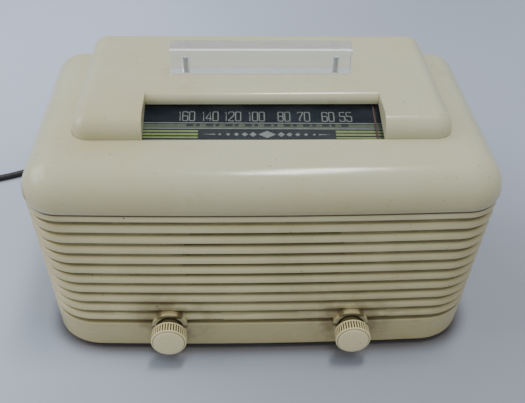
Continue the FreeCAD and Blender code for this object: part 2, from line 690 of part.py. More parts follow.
def valve_glass(x, radius, height):
    """Glass envelope, hollow inside and open onto its base."""
    top = VALVE_BASE_TOP + height
    return envelope(x, radius, VALVE_BASE_TOP, top).cut(
        envelope(x, radius - 1.0, VALVE_BASE_TOP - 1, top - 1.0))


def tube_plates():
    plates = []
    for _, x, radius, height in VALVES:
        anode = rod_z(radius * 0.5, VALVE_BASE_TOP + 8, VALVE_BASE_TOP + height - 16, x, VALVE_Y)
        mica = rod_z(radius - 1.6, VALVE_BASE_TOP + height - 16, VALVE_BASE_TOP + height - 15, x, VALVE_Y)
        stem = rod_z(radius * 0.3, VALVE_BASE_TOP, VALVE_BASE_TOP + 8, x, VALVE_Y)
        plates.append(anode.multiFuse([mica, stem]))
    return group(plates)


def screened_can(x, y, side, height):
    half = side / 2
    can = box(x - half, x + half, y - half, y + half, CHASSIS_TOP, CHASSIS_TOP + height)
    return can.makeFillet(3.0, [edge for edge in can.Edges if edge.CenterOfMass.z > CHASSIS_TOP + 1])


def filter_capacitor():
    """Upright can with a crimped rim round its recessed top."""
    top = CHASSIS_TOP + 60.6
    profile = [(0, CHASSIS_TOP), (12.6, CHASSIS_TOP), (12.6, top - 0.6), (11.6, top + 1.4), (10.0, top),
               (0, top)]
    return turned_z(profile, -22.0, 24.0)


def oscillator_coil():
    former = rod_z(6.0, CHASSIS_TOP, CHASSIS_TOP + 34, 24.0, 30.0)
    winding = rod_z(8.5, CHASSIS_TOP + 8, CHASSIS_TOP + 24, 24.0, 30.0)
    return former.fuse(winding)


def output_transformer_core():
    core = box(-118, -78, -40, -22, CHASSIS_TOP, CHASSIS_TOP + 34)
    windows = [box(x, x + 7, -60, 0, CHASSIS_TOP + 7, CHASSIS_TOP + 27) for x in (-111, -92)]
    return core.cut(windows)


def output_transformer_coil():
    outer = box(-110.6, -85.4, -47, -15, CHASSIS_TOP + 7.4, CHASSIS_TOP + 26.6)
    return outer.cut(box(-104.3, -91.7, -41, -21, 0, 200))


# ---------------------------------------------------------------- loudspeaker
def speaker_baffle():
    board = box(-64, 64, BAFFLE_FRONT, BAFFLE_BACK, 47, 135)
    return board.cut(rod_y(41.0, -90, -50, 0, SPEAKER_Z))


def grille_cloth():
    return box(-58, 58, BAFFLE_FRONT - 0.5, BAFFLE_FRONT, 56, 133)


def speaker_basket():
    """Pressed steel frame: flat ring, four ribs of a cone and the seat of the magnet."""
    back = BAFFLE_BACK
    profile = [(41.5, back), (SPEAKER_RADIUS, back), (SPEAKER_RADIUS, back + 1.5), (44.0, back + 1.5),
               (22.0, back + 26.0), (22.0, back + 27.5), (9.0, back + 27.5), (9.0, back + 26.3),
               (20.5, back + 26.3), (42.0, back + 3.0)]
    frame = turned_y(profile, 0, SPEAKER_Z)
    windows = []
    for turn in range(4):
        window = box(-9, 9, back + 6, back + 22, SPEAKER_Z + 15, SPEAKER_Z + 60)
        window.rotate(Vector(0, 0, SPEAKER_Z), Vector(0, 1, 0), 45 + 90 * turn)
        windows.append(window)
    holes = [rod_y(2.0, back - 5, back + 5, x, z) for x, z in SPEAKER_SCREWS]
    return frame.cut(windows + holes)


SPEAKER_SCREWS = tuple((44.3 * math.cos(math.radians(45 + 90 * turn)),
                        SPEAKER_Z + 44.3 * math.sin(math.radians(45 + 90 * turn))) for turn in range(4))


def speaker_screws():
    screws = []
    for x, z in SPEAKER_SCREWS:
        screws.append(rod_y(1.8, BAFFLE_BACK, BAFFLE_BACK + 4.0, x, z).fuse(
            rod_y(2.2, BAFFLE_BACK + 4.0, BAFFLE_BACK + 6.0, x, z)))
    return group(screws)


def speaker_magnet():
    """Magnet pot with a ring-shaped gap for the voice coil."""
    front = BAFFLE_BACK + 27.5
    return turned_y([(0, front + 20), (20, front + 20), (20, front), (7.7, front), (7.7, front + 14),
                     (6.1, front + 14), (6.1, front - 1.5), (0, front - 1.5)], 0, SPEAKER_Z)


def speaker_cone():
    """Paper cone with its dust cap; it moves as one piece."""
    rim = BAFFLE_BACK + 3.2
    throat = BAFFLE_BACK + 21.0
    paper = turned_y([(39.6, rim), (7.2, throat), (7.2, throat + 0.9), (8.4, throat + 0.9),
                      (39.6, rim + 0.9)], 0, SPEAKER_Z)
    cap = turned_y([(0, throat - 3.0), (4.5, throat - 2.0), (7.2, throat), (7.2, throat + 0.9),
                    (4.2, throat - 1.2), (0, throat - 2.2)], 0, SPEAKER_Z)
    return paper.fuse(cap)


def voice_coil():
    throat = BAFFLE_BACK + 21.9
    return tube_y(7.2, 6.6, throat, throat + 13.0, 0, SPEAKER_Z)


# ---------------------------------------------------------------- controls
def knob(x):
    """Domed cap over a slotted band, with a narrower hub behind."""
    radius = KNOB_RADIUS
    face = KNOB_FACE
    rim = KNOB_CAP_RADIUS
    profile = [(SHAFT_RADIUS, face + 4.0), (0, face + 4.0), (0, face), (6.0, face + 0.15),
               (9.4, face + 0.4), (rim - 0.4, face + 0.8), (rim - 0.2, face + 1.5), (rim + 0.2, face + 1.3),
               (radius - 0.3, face + 1.5), (radius, face + 2.0), (radius, KNOB_BACK - 0.4),
               (radius - 0.4, KNOB_BACK), (8.0, KNOB_BACK), (8.0, COLLAR_FRONT + 2.0),
               (SHAFT_RADIUS, COLLAR_FRONT + 2.0)]
    blank = turned_y(profile, x, CONTROL_Z)
    slots = []
    for index in range(KNOB_SLOTS):
        slot = box(x - 0.52, x + 0.52, face + 1.9, KNOB_BACK - 1.4,
                   CONTROL_Z + radius - 1.0, CONTROL_Z + radius + 2)
        slot.rotate(Vector(x, 0, CONTROL_Z), Vector(0, 1, 0), index * 360.0 / KNOB_SLOTS)
        slots.append(slot)
    return blank.cut(slots)


def shaft(x, back):
    return rod_y(SHAFT_RADIUS, KNOB_FACE + 4.0, back, x, CONTROL_Z)


def volume_control():
    """Potentiometer can behind the chassis front, with its threaded bush through it."""
    front = CHASSIS_FRONT + SHEET
    can = rod_y(11.8, front, front + 12.5, VOLUME_X, CONTROL_Z)
    bush = rod_y(4.7, CHASSIS_FRONT - 7.0, front, VOLUME_X, CONTROL_Z)
    bore = rod_y(SHAFT_RADIUS + RUNNING_FIT, CHASSIS_FRONT - 8.0, front + 6.0, VOLUME_X, CONTROL_Z)
    return can.fuse(bush).cut(bore)


def tuning_bushing():
    front = CHASSIS_FRONT + SHEET
    bush = rod_y(4.7, CHASSIS_FRONT - 7.0, front, TUNING_X, CONTROL_Z).fuse(
        rod_y(7.5, front, front + 2.0, TUNING_X, CONTROL_Z))
    return bush.cut(rod_y(SHAFT_RADIUS + RUNNING_FIT, -80, -40, TUNING_X, CONTROL_Z))


def control_nuts():
    nuts = []
    for x in (VOLUME_X, TUNING_X):
        corners = [Vector(x + 7.3 * math.cos(math.radians(60 * k)), CHASSIS_FRONT - 2.4,
                          CONTROL_Z + 7.3 * math.sin(math.radians(60 * k))) for k in range(6)]
        nut = Part.Face(Part.makePolygon(corners + corners[:1])).extrude(Vector(0, 2.4, 0))
        nuts.append(nut.cut(rod_y(4.8, -80, -40, x, CONTROL_Z)))
    return group(nuts)


# ---------------------------------------------------------------- tuning gang
GANG_FRONT = 12.0
GANG_BACK = 47.5
GANG_PLATE = 1.5
GANG_HALF = 26.0
GANG_BASE = 61.0
GANG_SHAFT = 3.0
ROTOR_RADIUS = 20.0
VANE = 0.7
VANE_PITCH = 2.6
VANE_STARTS = (16.2, 31.6)
VANES = 5


def gang_frame():
    """U-shaped frame of the two-section variable capacitor."""
    x0, x1 = DRUM_X - GANG_HALF, DRUM_X + GANG_HALF
    base = box(x0, x1, GANG_FRONT, GANG_BACK, GANG_BASE, GANG_BASE + GANG_PLATE)
    front = box(x0, x1, GANG_FRONT, GANG_FRONT + GANG_PLATE, GANG_BASE, DRUM_Z + 10)
    rear = box(x0, x1, GANG_BACK - GANG_PLATE, GANG_BACK, GANG_BASE, DRUM_Z + 10)
    hole = rod_y(GANG_SHAFT + RUNNING_FIT, 0, 60, DRUM_X, DRUM_Z)
    return base.multiFuse([front, rear]).removeSplitter().cut(hole)


def gang_bracket():
    x0, x1 = DRUM_X - 22, DRUM_X + 20
    outer = box(x0, x1, GANG_FRONT, GANG_BACK, CHASSIS_TOP, GANG_BASE)
    return outer.cut(box(x0 + SHEET, x1 - SHEET, 0, 60, CHASSIS_TOP - 1, GANG_BASE - SHEET))


def half_disc(radius, y0, y1, lower):
    disc = rod_y(radius, y0, y1, DRUM_X, DRUM_Z)
    keep = 30.0
    if lower:
        return disc.common(box(DRUM_X - keep, DRUM_X + keep, 0, 60, DRUM_Z - keep, DRUM_Z - 1.0))
    return disc.common(box(DRUM_X - keep, DRUM_X + keep, 0, 60, DRUM_Z + 1.0, DRUM_Z + keep))


def gang_stator():
    """Fixed vanes on two rods along the frame, on the lower side of the shaft."""
    shapes = []
    for start in VANE_STARTS:
        for index in range(VANES):
            y = start + index * VANE_PITCH
            vane = half_disc(24.5, y, y + VANE, True)
            shapes.append(vane.cut(rod_y(GANG_SHAFT + 2.5, 0, 60, DRUM_X, DRUM_Z)))
    for side in (-1, 1):
        shapes.append(rod_y(1.4, GANG_FRONT + GANG_PLATE, GANG_BACK - GANG_PLATE,
                            DRUM_X + side * 22.2, DRUM_Z - 4.0))
    return shapes[0].multiFuse(shapes[1:])


def gang_rotor():
    """Moving vanes; at rest they are meshed with the fixed ones."""
    shapes = []
    for start in VANE_STARTS:
        for index in range(VANES):
            y = start + VANE_PITCH / 2 + index * VANE_PITCH
            vane = half_disc(ROTOR_RADIUS, y, y + VANE, True)
            hub = tube_y(GANG_SHAFT + 1.2, GANG_SHAFT + 0.02, y, y + VANE, DRUM_X, DRUM_Z)
            shapes.append(vane.cut(rod_y(GANG_SHAFT + 0.02, 0, 60, DRUM_X, DRUM_Z)).fuse(hub))
    return group(shapes)


def gang_shaft():
    return rod_y(GANG_SHAFT, 0.5, GANG_BACK + 1.5, DRUM_X, DRUM_Z)


def tuning_drum():
    """Large wheel on the gang shaft that the dial cord turns."""
    groove = DRUM_RUN_RADIUS - STRING_GAP - STRING_RADIUS
    rim = DRUM_RUN_RADIUS + 1.0
    profile = [(GANG_SHAFT + 0.02, 3.0), (7.0, 3.0), (7.0, 5.2), (36.0, 5.2), (36.0, 3.8), (rim, 3.8),
               (rim, 4.4), (groove, 5.3), (groove, 6.7), (rim, 7.6), (rim, 8.2), (36.0, 8.2), (36.0, 6.6),
               (7.0, 6.6), (7.0, 9.5), (GANG_SHAFT + 0.02, 9.5)]
    wheel = turned_y(profile, DRUM_X, DRUM_Z)
    holes = []
    for index in range(5):
        angle = math.radians(72 * index + 18)
        holes.append(rod_y(8.0, 0, 12, DRUM_X + 22 * math.cos(angle), DRUM_Z + 22 * math.sin(angle)))
    return wheel.cut(holes)


# ---------------------------------------------------------------- aerial, cord and plug
def loop_antenna():
    """Flat oval winding on the inside of the back panel."""
    def oval(half_x, half_z, y0, y1):
        block = box(-half_x, half_x, y0, y1, 72 - half_z, 72 + half_z)
        corners = [edge for edge in block.Edges if abs(edge.tangentAt(edge.FirstParameter).y) > 0.9]
        return block.makeFillet(half_z - 2, corners)
    return oval(118, 30, 88.2, PANEL_FRONT).cut(oval(104, 17, 80, 100))


def cord_strain_relief():
    """Rubber sleeve that grips the back panel and tapers along the cord."""
    return turned_y([(CORD_RADIUS, 88.0), (7.5, 88.0), (7.5, PANEL_FRONT), (5.8, PANEL_FRONT),
                     (5.8, PANEL_BACK), (7.8, PANEL_BACK), (7.4, PANEL_BACK + 2.2), (5.8, PANEL_BACK + 2.6),
                     (3.7, RELIEF_TIP), (CORD_RADIUS, RELIEF_TIP)], CORD_EXIT_X, CORD_EXIT_Z)


def smooth_path(route):
    """Straight runs joined by tangent arcs, each as large as its two runs allow."""
    points = [Vector(*point) for point in route]
    edges = []
    last = points[0]
    radii = []
    for before, corner, after in zip(points, points[1:], points[2:]):
        run_in = corner - before
        run_out = after - corner
        turn = run_in.getAngle(run_out)
        trim = 0.45 * min(run_in.Length, run_out.Length)
        radii.append(trim / math.tan(turn / 2))
        start = corner - run_in.normalize() * trim
        end = corner + run_out.normalize() * trim
        toward = (start + end) * 0.5 - corner
        sagitta = radii[-1] / math.cos(turn / 2) - radii[-1]
        middle = corner + toward.normalize() * sagitta
        edges.append(Part.LineSegment(last, start).toShape())
        edges.append(Part.Arc(start, middle, end).toShape())
        last = end
    edges.append(Part.LineSegment(last, points[-1]).toShape())
    print("cord radii", " ".join("%.0f" % radius for radius in radii))
    return Part.Wire(edges)


def cord_tube(route):
    path = smooth_path(route)
    first = Vector(*route[0])
    heading = Vector(*route[1]) - first
    section = Part.Wire([Part.makeCircle(CORD_RADIUS, first, heading)])
    tube = path.makePipeShell([section], True, False)
    expected = math.pi * CORD_RADIUS ** 2 * path.Length
    print("cord length %.1f  volume over section x length %.4f" % (path.Length, tube.Volume / expected))
    return tube


def power_cord_coil():
    """Outer shape of the put-away turns, as one closed ring."""
    half = COIL_ACROSS * CORD_RADIUS
    height = COIL_LAYERS * 2 * CORD_RADIUS
    x, y = COIL_CENTRE
    ring = rod_z(COIL_MID_RADIUS + half, 0, height, x, y)
    ring = ring.cut(rod_z(COIL_MID_RADIUS - half, -1, height + 1, x, y))
    rims = [edge for edge in ring.Edges if abs(edge.Vertexes[0].Z - edge.Vertexes[-1].Z) < 0.01
            and edge.Closed]
    return ring.makeFillet(2.2, rims)


def tail_ends():
    """Where the last turn leaves the coil, and where the plug's sleeve takes it."""
    x = COIL_CENTRE[0] - COIL_MID_RADIUS - (COIL_ACROSS - 1) * CORD_RADIUS
    y = COIL_CENTRE[1]
    return Vector(x, y, 3 * CORD_RADIUS), Vector(x, y - 26.0, PLUG_AXIS_Z)


def power_cord_tail():
    start, end = tail_ends()
    return Part.makeCylinder(CORD_RADIUS, (end - start).Length, start, end - start)


def blade_pair(y0, y1, half_thick, half_high):
    """Two flat bars side by side at the plug's blade spacing."""
    _, end = tail_ends()
    middles = [end.x + side * BLADE_SPACING / 2 for side in (-1, 1)]
    return [box(x - half_thick, x + half_thick, y0, y1, PLUG_AXIS_Z - half_high, PLUG_AXIS_Z + half_high)
            for x in middles]


def power_plug():
    _, end = tail_ends()
    x, y = end.x, end.y
    body = turned_y([(0, y - 38), (9.6, y - 38), (10.8, y - 36.5), (10.8, y - 22), (7.0, y - 14),
                     (4.0, y - 1), (3.6, y), (0, y)], x, PLUG_AXIS_Z)
    return body.cut(blade_pair(y - 40, y - 31, 0.8, 3.2))


def plug_blades():
    _, end = tail_ends()
    return group(blade_pair(end.y - 54, end.y - 31, 0.75, 3.15))


# ---------------------------------------------------------------- build
def build():
    os.makedirs("parts", exist_ok=True)
    save("lower_cabinet", lower_cabinet())
    save("top_cover", top_cover())
    save("cabinet_screws", cabinet_screws())
    save("rubber_feet", rubber_feet())
    save("back_panel", back_panel())
    save("back_panel_screws", back_panel_screws())
    save("handle", handle())
    save("handle_screws", handle_screws())

    save("dial_lens", dial_lens())
    save("dial_plate", dial_plate())
    save("dial_bracket", dial_bracket())
    save("pulley_studs", pulley_studs())
    save("left_pulley", pulley(-PULLEY_X))
    save("right_pulley", pulley(PULLEY_X))
    save("dial_string", dial_string())
    save("dial_pointer", dial_pointer())
    save("lamp_socket", lamp_socket())
    save("dial_lamp", dial_lamp())

    save("chassis", chassis())
    save("tube_sockets", tube_sockets())
    save("tube_bases", tube_bases())
    for name, x, radius, height in VALVES:
        save(name, valve_glass(x, radius, height))
    save("tube_plates", tube_plates())
    save("input_if_transformer", screened_can(-112.0, 22.0, 34.0, 66.0))
    save("output_if_transformer", screened_can(-66.0, 22.0, 34.0, 66.0))
    save("filter_capacitor", filter_capacitor())
    save("oscillator_coil", oscillator_coil())
    save("output_transformer_core", output_transformer_core())
    save("output_transformer_coil", output_transformer_coil())

    save("speaker_baffle", speaker_baffle())
    save("grille_cloth", grille_cloth())
    save("speaker_basket", speaker_basket())
    save("speaker_screws", speaker_screws())
    save("speaker_magnet", speaker_magnet())
    save("speaker_cone", speaker_cone())
    save("voice_coil", voice_coil())

    save("volume_knob", knob(VOLUME_X))
    save("volume_shaft", shaft(VOLUME_X, CHASSIS_FRONT + SHEET + 5.0))
    save("volume_control", volume_control())
    save("tuning_knob", knob(TUNING_X))
    save("tuning_shaft", shaft(TUNING_X, 16.0))
    save("tuning_bushing", tuning_bushing())
    save("control_nuts", control_nuts())

    save("gang_frame", gang_frame())
    save("gang_bracket", gang_bracket())
    save("gang_stator", gang_stator())
    save("gang_rotor", gang_rotor())
    save("gang_shaft", gang_shaft())
    save("tuning_drum", tuning_drum())

    save("loop_antenna", loop_antenna())
    save("cord_strain_relief", cord_strain_relief())
    save("power_cord_run", cord_tube(CORD_ROUTE))
    save("power_cord_coil", power_cord_coil())
    save("power_cord_tail", power_cord_tail())
    save("power_plug", power_plug())
    save("plug_blades", plug_blades())


build()
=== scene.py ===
"""Looks of the mains valve table radio: cord, dial printing, materials, floor, light and camera."""

import math

import bmesh
import bpy
from mathutils import Matrix, Vector


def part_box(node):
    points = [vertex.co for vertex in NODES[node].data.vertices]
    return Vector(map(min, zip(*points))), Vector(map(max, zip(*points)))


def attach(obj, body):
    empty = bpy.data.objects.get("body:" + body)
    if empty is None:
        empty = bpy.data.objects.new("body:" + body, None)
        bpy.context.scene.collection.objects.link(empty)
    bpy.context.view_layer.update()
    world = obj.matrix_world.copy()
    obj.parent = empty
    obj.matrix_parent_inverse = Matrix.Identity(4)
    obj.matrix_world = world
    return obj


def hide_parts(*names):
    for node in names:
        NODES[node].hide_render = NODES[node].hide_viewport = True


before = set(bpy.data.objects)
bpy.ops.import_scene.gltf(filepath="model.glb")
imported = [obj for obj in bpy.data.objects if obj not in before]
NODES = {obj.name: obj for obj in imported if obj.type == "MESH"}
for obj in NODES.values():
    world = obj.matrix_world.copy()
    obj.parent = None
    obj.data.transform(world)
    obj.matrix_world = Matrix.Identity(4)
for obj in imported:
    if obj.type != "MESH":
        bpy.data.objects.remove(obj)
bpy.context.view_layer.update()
MM = 0.001


# ---------------------------------------------------------------- camera
CAMERA_PLACE = (-0.0229, -0.4707, 0.4387)
CAMERA_YAW = math.radians(3.0)
CAMERA_PITCH = math.radians(37.25)
CAMERA_ROLL = math.radians(1.4)
CAMERA_LENS = 53.6
SENSOR_WIDTH = 36.0


def make_camera():
    """A camera that looks down on the front of the radio from a little left of its middle."""
    forward = Vector((math.sin(CAMERA_YAW) * math.cos(CAMERA_PITCH),
                      math.cos(CAMERA_YAW) * math.cos(CAMERA_PITCH),
                      -math.sin(CAMERA_PITCH)))
    level_right = Vector((math.cos(CAMERA_YAW), -math.sin(CAMERA_YAW), 0.0))
    level_up = level_right.cross(forward)
    right = level_right * math.cos(CAMERA_ROLL) + level_up * math.sin(CAMERA_ROLL)
    up = level_up * math.cos(CAMERA_ROLL) - level_right * math.sin(CAMERA_ROLL)
    data = bpy.data.cameras.new("camera")
    data.lens = CAMERA_LENS
    data.sensor_width = SENSOR_WIDTH
    data.clip_start = 0.02
    camera = bpy.data.objects.new("camera", data)
    bpy.context.scene.collection.objects.link(camera)
    turn = Matrix((right, up, -forward)).transposed().to_4x4()
    camera.matrix_world = Matrix.Translation(CAMERA_PLACE) @ turn
    bpy.context.scene.camera = camera


make_camera()


# ---------------------------------------------------------------- cord
CORD_RADIUS = 0.0025
CORD_ROUTE = (
    (-0.1000, 0.1230, 0.0220),
    (-0.1005, 0.1390, 0.0205),
    (-0.1050, 0.1560, 0.0140),
    (-0.1170, 0.1710, 0.0060),
    (-0.1370, 0.1805, 0.0027),
    (-0.1660, 0.1780, 0.0026),
    (-0.1970, 0.1650, 0.0026),
    (-0.2260, 0.1475, 0.0026),
    (-0.2570, 0.1370, 0.0026),
    (-0.2860, 0.1335, 0.0026),
)
COIL_CENTRE = (-0.296, 0.092)
COIL_OUTER = 0.0378
COIL_INNER = 0.0204
COIL_START = math.radians(108.0)
COIL_TURNS = 8.2
CLIMB_FROM = 3.5
CLIMB_TURNS = 0.5
POINTS_A_TURN = 16
TAIL_RISE = (-0.3335, 0.0800, 0.0085)
TAIL_END = (-0.3335, 0.0645, 0.0110)
UPPER_STEP = 1.1
FLOOR_GAP = 0.0001

# Band round the turns of the coil
TIE_ANGLE = math.radians(235.0)
TIE_HALF_WIDTH = 0.003
TIE_THICKNESS = 0.0007
TIE_GAP = 0.0002
TIE_STEPS = 40
TIE_SQUARENESS = 0.35


def coil_radius(turn):
    """Distance from the coil's middle: inwards on the floor, then outwards one layer up."""
    step = (COIL_OUTER - COIL_INNER) / CLIMB_FROM
    if turn < CLIMB_FROM:
        return COIL_OUTER - step * turn
    climbed = turn - CLIMB_FROM - CLIMB_TURNS
    return min(COIL_INNER + max(0.0, climbed) * step * UPPER_STEP, COIL_OUTER)


def coil_height(turn):
    """Height of the cord's middle: on the floor, then one cord higher."""
    share = min(max((turn - CLIMB_FROM) / CLIMB_TURNS, 0.0), 1.0)
    return CORD_RADIUS + FLOOR_GAP + 2 * CORD_RADIUS * math.sin(share * math.pi / 2)


def coil_points():
    points = []
    for index in range(int(COIL_TURNS * POINTS_A_TURN) + 1):
        turn = index / POINTS_A_TURN
        angle = COIL_START + 2 * math.pi * turn
        radius = coil_radius(turn)
        points.append((COIL_CENTRE[0] + radius * math.cos(angle),
                       COIL_CENTRE[1] + radius * math.sin(angle),
                       coil_height(turn)))
    return points


def make_cord():
    """One smooth line: down from the back, along the floor, round the coil and into the plug."""
    points = list(CORD_ROUTE) + coil_points() + [TAIL_RISE, TAIL_END]
    curve = bpy.data.curves.new("power_cord", "CURVE")
    curve.dimensions = "3D"
    curve.bevel_depth = 1.0
    curve.bevel_resolution = 5
    curve.resolution_u = 6
    curve.use_fill_caps = True
    spline = curve.splines.new("NURBS")
    spline.points.add(len(points) - 1)
    for point, place in zip(spline.points, points):
        point.co = (*place, 1.0)
        point.radius = CORD_RADIUS
    spline.order_u = 3
    spline.use_endpoint_u = True
    cord = bpy.data.objects.new("power_cord", curve)
    bpy.context.scene.collection.objects.link(cord)
    return cord


def ring_mesh(name, loops):
    """Closed tube surface through loops of points, where the last loop joins the first."""
    mesh = bmesh.new()
    rows = [[mesh.verts.new(place) for place in loop] for loop in loops]
    for row, following in zip(rows, rows[1:] + rows[:1]):
        for index in range(len(row)):
            after = (index + 1) % len(row)
            mesh.faces.new((row[index], row[after], following[after], following[index]))
    bmesh.ops.recalc_face_normals(mesh, faces=mesh.faces)
    data = bpy.data.meshes.new(name)
    mesh.to_mesh(data)
    mesh.free()
    data.polygons.foreach_set("use_smooth", [True] * len(data.polygons))
    thing = bpy.data.objects.new(name, data)
    bpy.context.scene.collection.objects.link(thing)
    return thing


def make_tie():
    """Flat band wrapped once round the bundle of turns."""
    middle = (COIL_OUTER + COIL_INNER) / 2
    half_wide = (COIL_OUTER - COIL_INNER) / 2 + CORD_RADIUS + 2 * TIE_GAP
    half_high = 2 * CORD_RADIUS + TIE_GAP
    outward = Vector((math.cos(TIE_ANGLE), math.sin(TIE_ANGLE), 0))
    along = Vector((-math.sin(TIE_ANGLE), math.cos(TIE_ANGLE), 0))
    centre = Vector((*COIL_CENTRE, half_high + FLOOR_GAP)) + outward * middle
    corners = ((-TIE_HALF_WIDTH, 0.0), (-TIE_HALF_WIDTH, TIE_THICKNESS),
               (TIE_HALF_WIDTH, TIE_THICKNESS), (TIE_HALF_WIDTH, 0.0))
    loops = []
    for step in range(TIE_STEPS):
        turn = 2 * math.pi * step / TIE_STEPS
        across = math.copysign(abs(math.cos(turn)) ** TIE_SQUARENESS, math.cos(turn))
        rise = math.copysign(abs(math.sin(turn)) ** TIE_SQUARENESS, math.sin(turn))
        loop = []
        for side, swell in corners:
            reach = outward * across * (half_wide + swell)
            lift = Vector((0, 0, rise * (half_high + swell * (1 if rise > 0 else 0))))
            loop.append(centre + reach + lift + along * side)
        loops.append(loop)
    return ring_mesh("cord_tie", loops)


cord = make_cord()
tie = make_tie()
for piece in (cord, tie):
    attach(piece, "cabinet")
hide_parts("power_cord_run", "power_cord_coil", "power_cord_tail")


# ---------------------------------------------------------------- node graphs
# Sockets of the mix node that carry its factor and its colours
MIX_FACTOR = 0
MIX_FIRST = 6
MIX_SECOND = 7
MIX_COLOUR = 2


class Graph:
    """A material under construction: adds nodes and hands back their output sockets."""

    def __init__(self, name, **sockets):
        self.material = bpy.data.materials.new(name)
        self.material.use_nodes = True
        self.tree = self.material.node_tree
        self.shader = self.tree.nodes["Principled BSDF"]
        for socket, value in sockets.items():
            self.shader.inputs[socket.replace("_", " ")].default_value = value
        self.place = self.tree.nodes.new("ShaderNodeTexCoord").outputs["Object"]

    def put(self, node, socket, value):
        """Link an output socket, or set a constant."""
        if isinstance(value, bpy.types.NodeSocket):
            self.tree.links.new(value, node.inputs[socket])
        elif value is not None:
            node.inputs[socket].default_value = value

    def add(self, kind, sockets=(), **settings):
        """New node with its settings and its input sockets filled in."""
        node = self.tree.nodes.new(kind)
        for setting, value in settings.items():
            setattr(node, setting, value)
        for socket, value in dict(sockets).items():
            self.put(node, socket, value)
        return node

    def finish(self, **sockets):
        """Join the looks to the shader and hand back the material."""
        for socket, value in sockets.items():
            self.put(self.shader, socket.replace("_", " "), value)
        return self.material

    def stretched(self, scale, turn=(0, 0, 0)):
        """Place on the object, scaled and turned, for textures with a grain."""
        sockets = {"Vector": self.place, "Scale": scale, "Rotation": turn}
        return self.add("ShaderNodeMapping", sockets).outputs[0]

    def noise(self, scale, detail=3.0, roughness=0.55, place=None):
        sockets = {"Vector": place or self.place, "Scale": scale, "Detail": detail, "Roughness": roughness}
        return self.add("ShaderNodeTexNoise", sockets).outputs[0]

    def cells(self, scale):
        """Distance to the nearest of many scattered points."""
        return self.add("ShaderNodeTexVoronoi", {"Vector": self.place, "Scale": scale}).outputs["Distance"]

    def math(self, operation, first, second=0.0, clamp=False):
        sockets = {0: first, 1: second}
        return self.add("ShaderNodeMath", sockets, operation=operation, use_clamp=clamp).outputs[0]

    def times(self, first, second, clamp=False):
        return self.math("MULTIPLY", first, second, clamp)

    def plus(self, first, second, clamp=False):
        return self.math("ADD", first, second, clamp)

    def most(self, first, second):
        return self.math("MAXIMUM", first, second)

    def off(self, value, middle):
        """How far a value is from a middle, on either side."""
        return self.math("ABSOLUTE", self.math("SUBTRACT", value, middle))

    def span(self, value, low, high, out_low=0.0, out_high=1.0):
        """Map low..high smoothly to out_low..out_high."""
        sockets = {"Value": value, "From Min": low, "From Max": high, "To Min": out_low, "To Max": out_high}
        return self.add("ShaderNodeMapRange", sockets, interpolation_type="SMOOTHSTEP").outputs[0]

    def mix(self, factor, first, second):
        """Blend two colours; a tuple is a constant colour without its alpha."""
        node = self.add("ShaderNodeMix", data_type="RGBA")
        self.put(node, MIX_FACTOR, factor)
        for socket, value in ((MIX_FIRST, first), (MIX_SECOND, second)):
            if isinstance(value, tuple):
                value = (*value, 1.0)
            self.put(node, socket, value)
        return node.outputs[MIX_COLOUR]

    def axis(self, name):
        return self.add("ShaderNodeSeparateXYZ", {0: self.place}).outputs[name]

    def away_from(self, point, place=None):
        """Distance to a point; a place stretched by 0 along an axis gives the distance to a line."""
        sockets = {0: place or self.place, 1: point}
        return self.add("ShaderNodeVectorMath", sockets, operation="DISTANCE").outputs["Value"]

    def shade(self, distance):
        """1 in the open, falling to 0 in creases narrower than the distance."""
        return self.add("ShaderNodeAmbientOcclusion", {"Distance": distance}, samples=8).outputs["AO"]

    def bump(self, height, distance, strength, below=None):
        sockets = {"Height": height, "Distance": distance, "Strength": strength, "Normal": below}
        return self.add("ShaderNodeBump", sockets).outputs[0]


def wear(node, material):
    """Give a CAD node's object its material."""
    slots = NODES[node].data.materials
    slots.clear()
    slots.append(material)


# ---------------------------------------------------------------- cabinet plastics
_, LOWER_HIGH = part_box("lower_cabinet")
SEAM = LOWER_HIGH.z
COLLAR_FRONT = -78.6 * MM
SEAM_GAP = 0.8 * MM
RIB_PITCH = 9.25 * MM
FIRST_GROOVE = 28.1 * MM
GROOVE_HALF = 1.3 * MM
KNOBS = ("volume_knob", "tuning_knob")
KNOB_PLACES = [tuple((a + b) / 2 for a, b in zip(*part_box(knob))) for knob in KNOBS]
SMEAR_REACH = 40.0 * MM
# Dark brown for grime, and for painted shade in creases, grooves, the seam and the knob slots
SHADE_AND_GRIME = (0.085, 0.066, 0.030)
SMEAR_BROWN = (0.20, 0.135, 0.055)
STAIN_BROWN = (0.36, 0.26, 0.12)
SPECK_BLACK = (0.05, 0.035, 0.02)


def dark_specks(graph, scale, size, amount):
    """Scattered pits and specks: 1 on a speck."""
    dots = graph.span(graph.cells(scale), size * 0.5, size, 1.0, 0.0)
    chosen = graph.span(graph.noise(scale * 0.37, 2.0), amount, amount + 0.04)
    return graph.times(dots, chosen, True)


def groove_shade_mask(graph):
    """Painted shade along the grooves: 1 in the grooves between the ribs, 0 on the ribs, the base band and
    the top cover.
    """
    height = graph.axis("Z")
    steps = graph.math("DIVIDE", graph.math("SUBTRACT", height, FIRST_GROOVE - RIB_PITCH / 2), RIB_PITCH)
    off_centre = graph.off(graph.math("FRACT", steps), 0.5)
    half = GROOVE_HALF / RIB_PITCH
    stripe = graph.span(off_centre, 0.7 * half, 1.4 * half, 1.0, 0.0)
    above = graph.span(height, FIRST_GROOVE - 2 * GROOVE_HALF, FIRST_GROOVE - GROOVE_HALF)
    return graph.times(stripe, above)


def seam_shade_mask(graph):
    """Painted shade in the seam: 1 on the two lips of the seam between the lower cabinet and the top cover.
    """
    off_centre = graph.off(graph.axis("Z"), SEAM + SEAM_GAP / 2)
    return graph.span(off_centre, 1.1 * SEAM_GAP, 1.8 * SEAM_GAP, 1.0, 0.0)


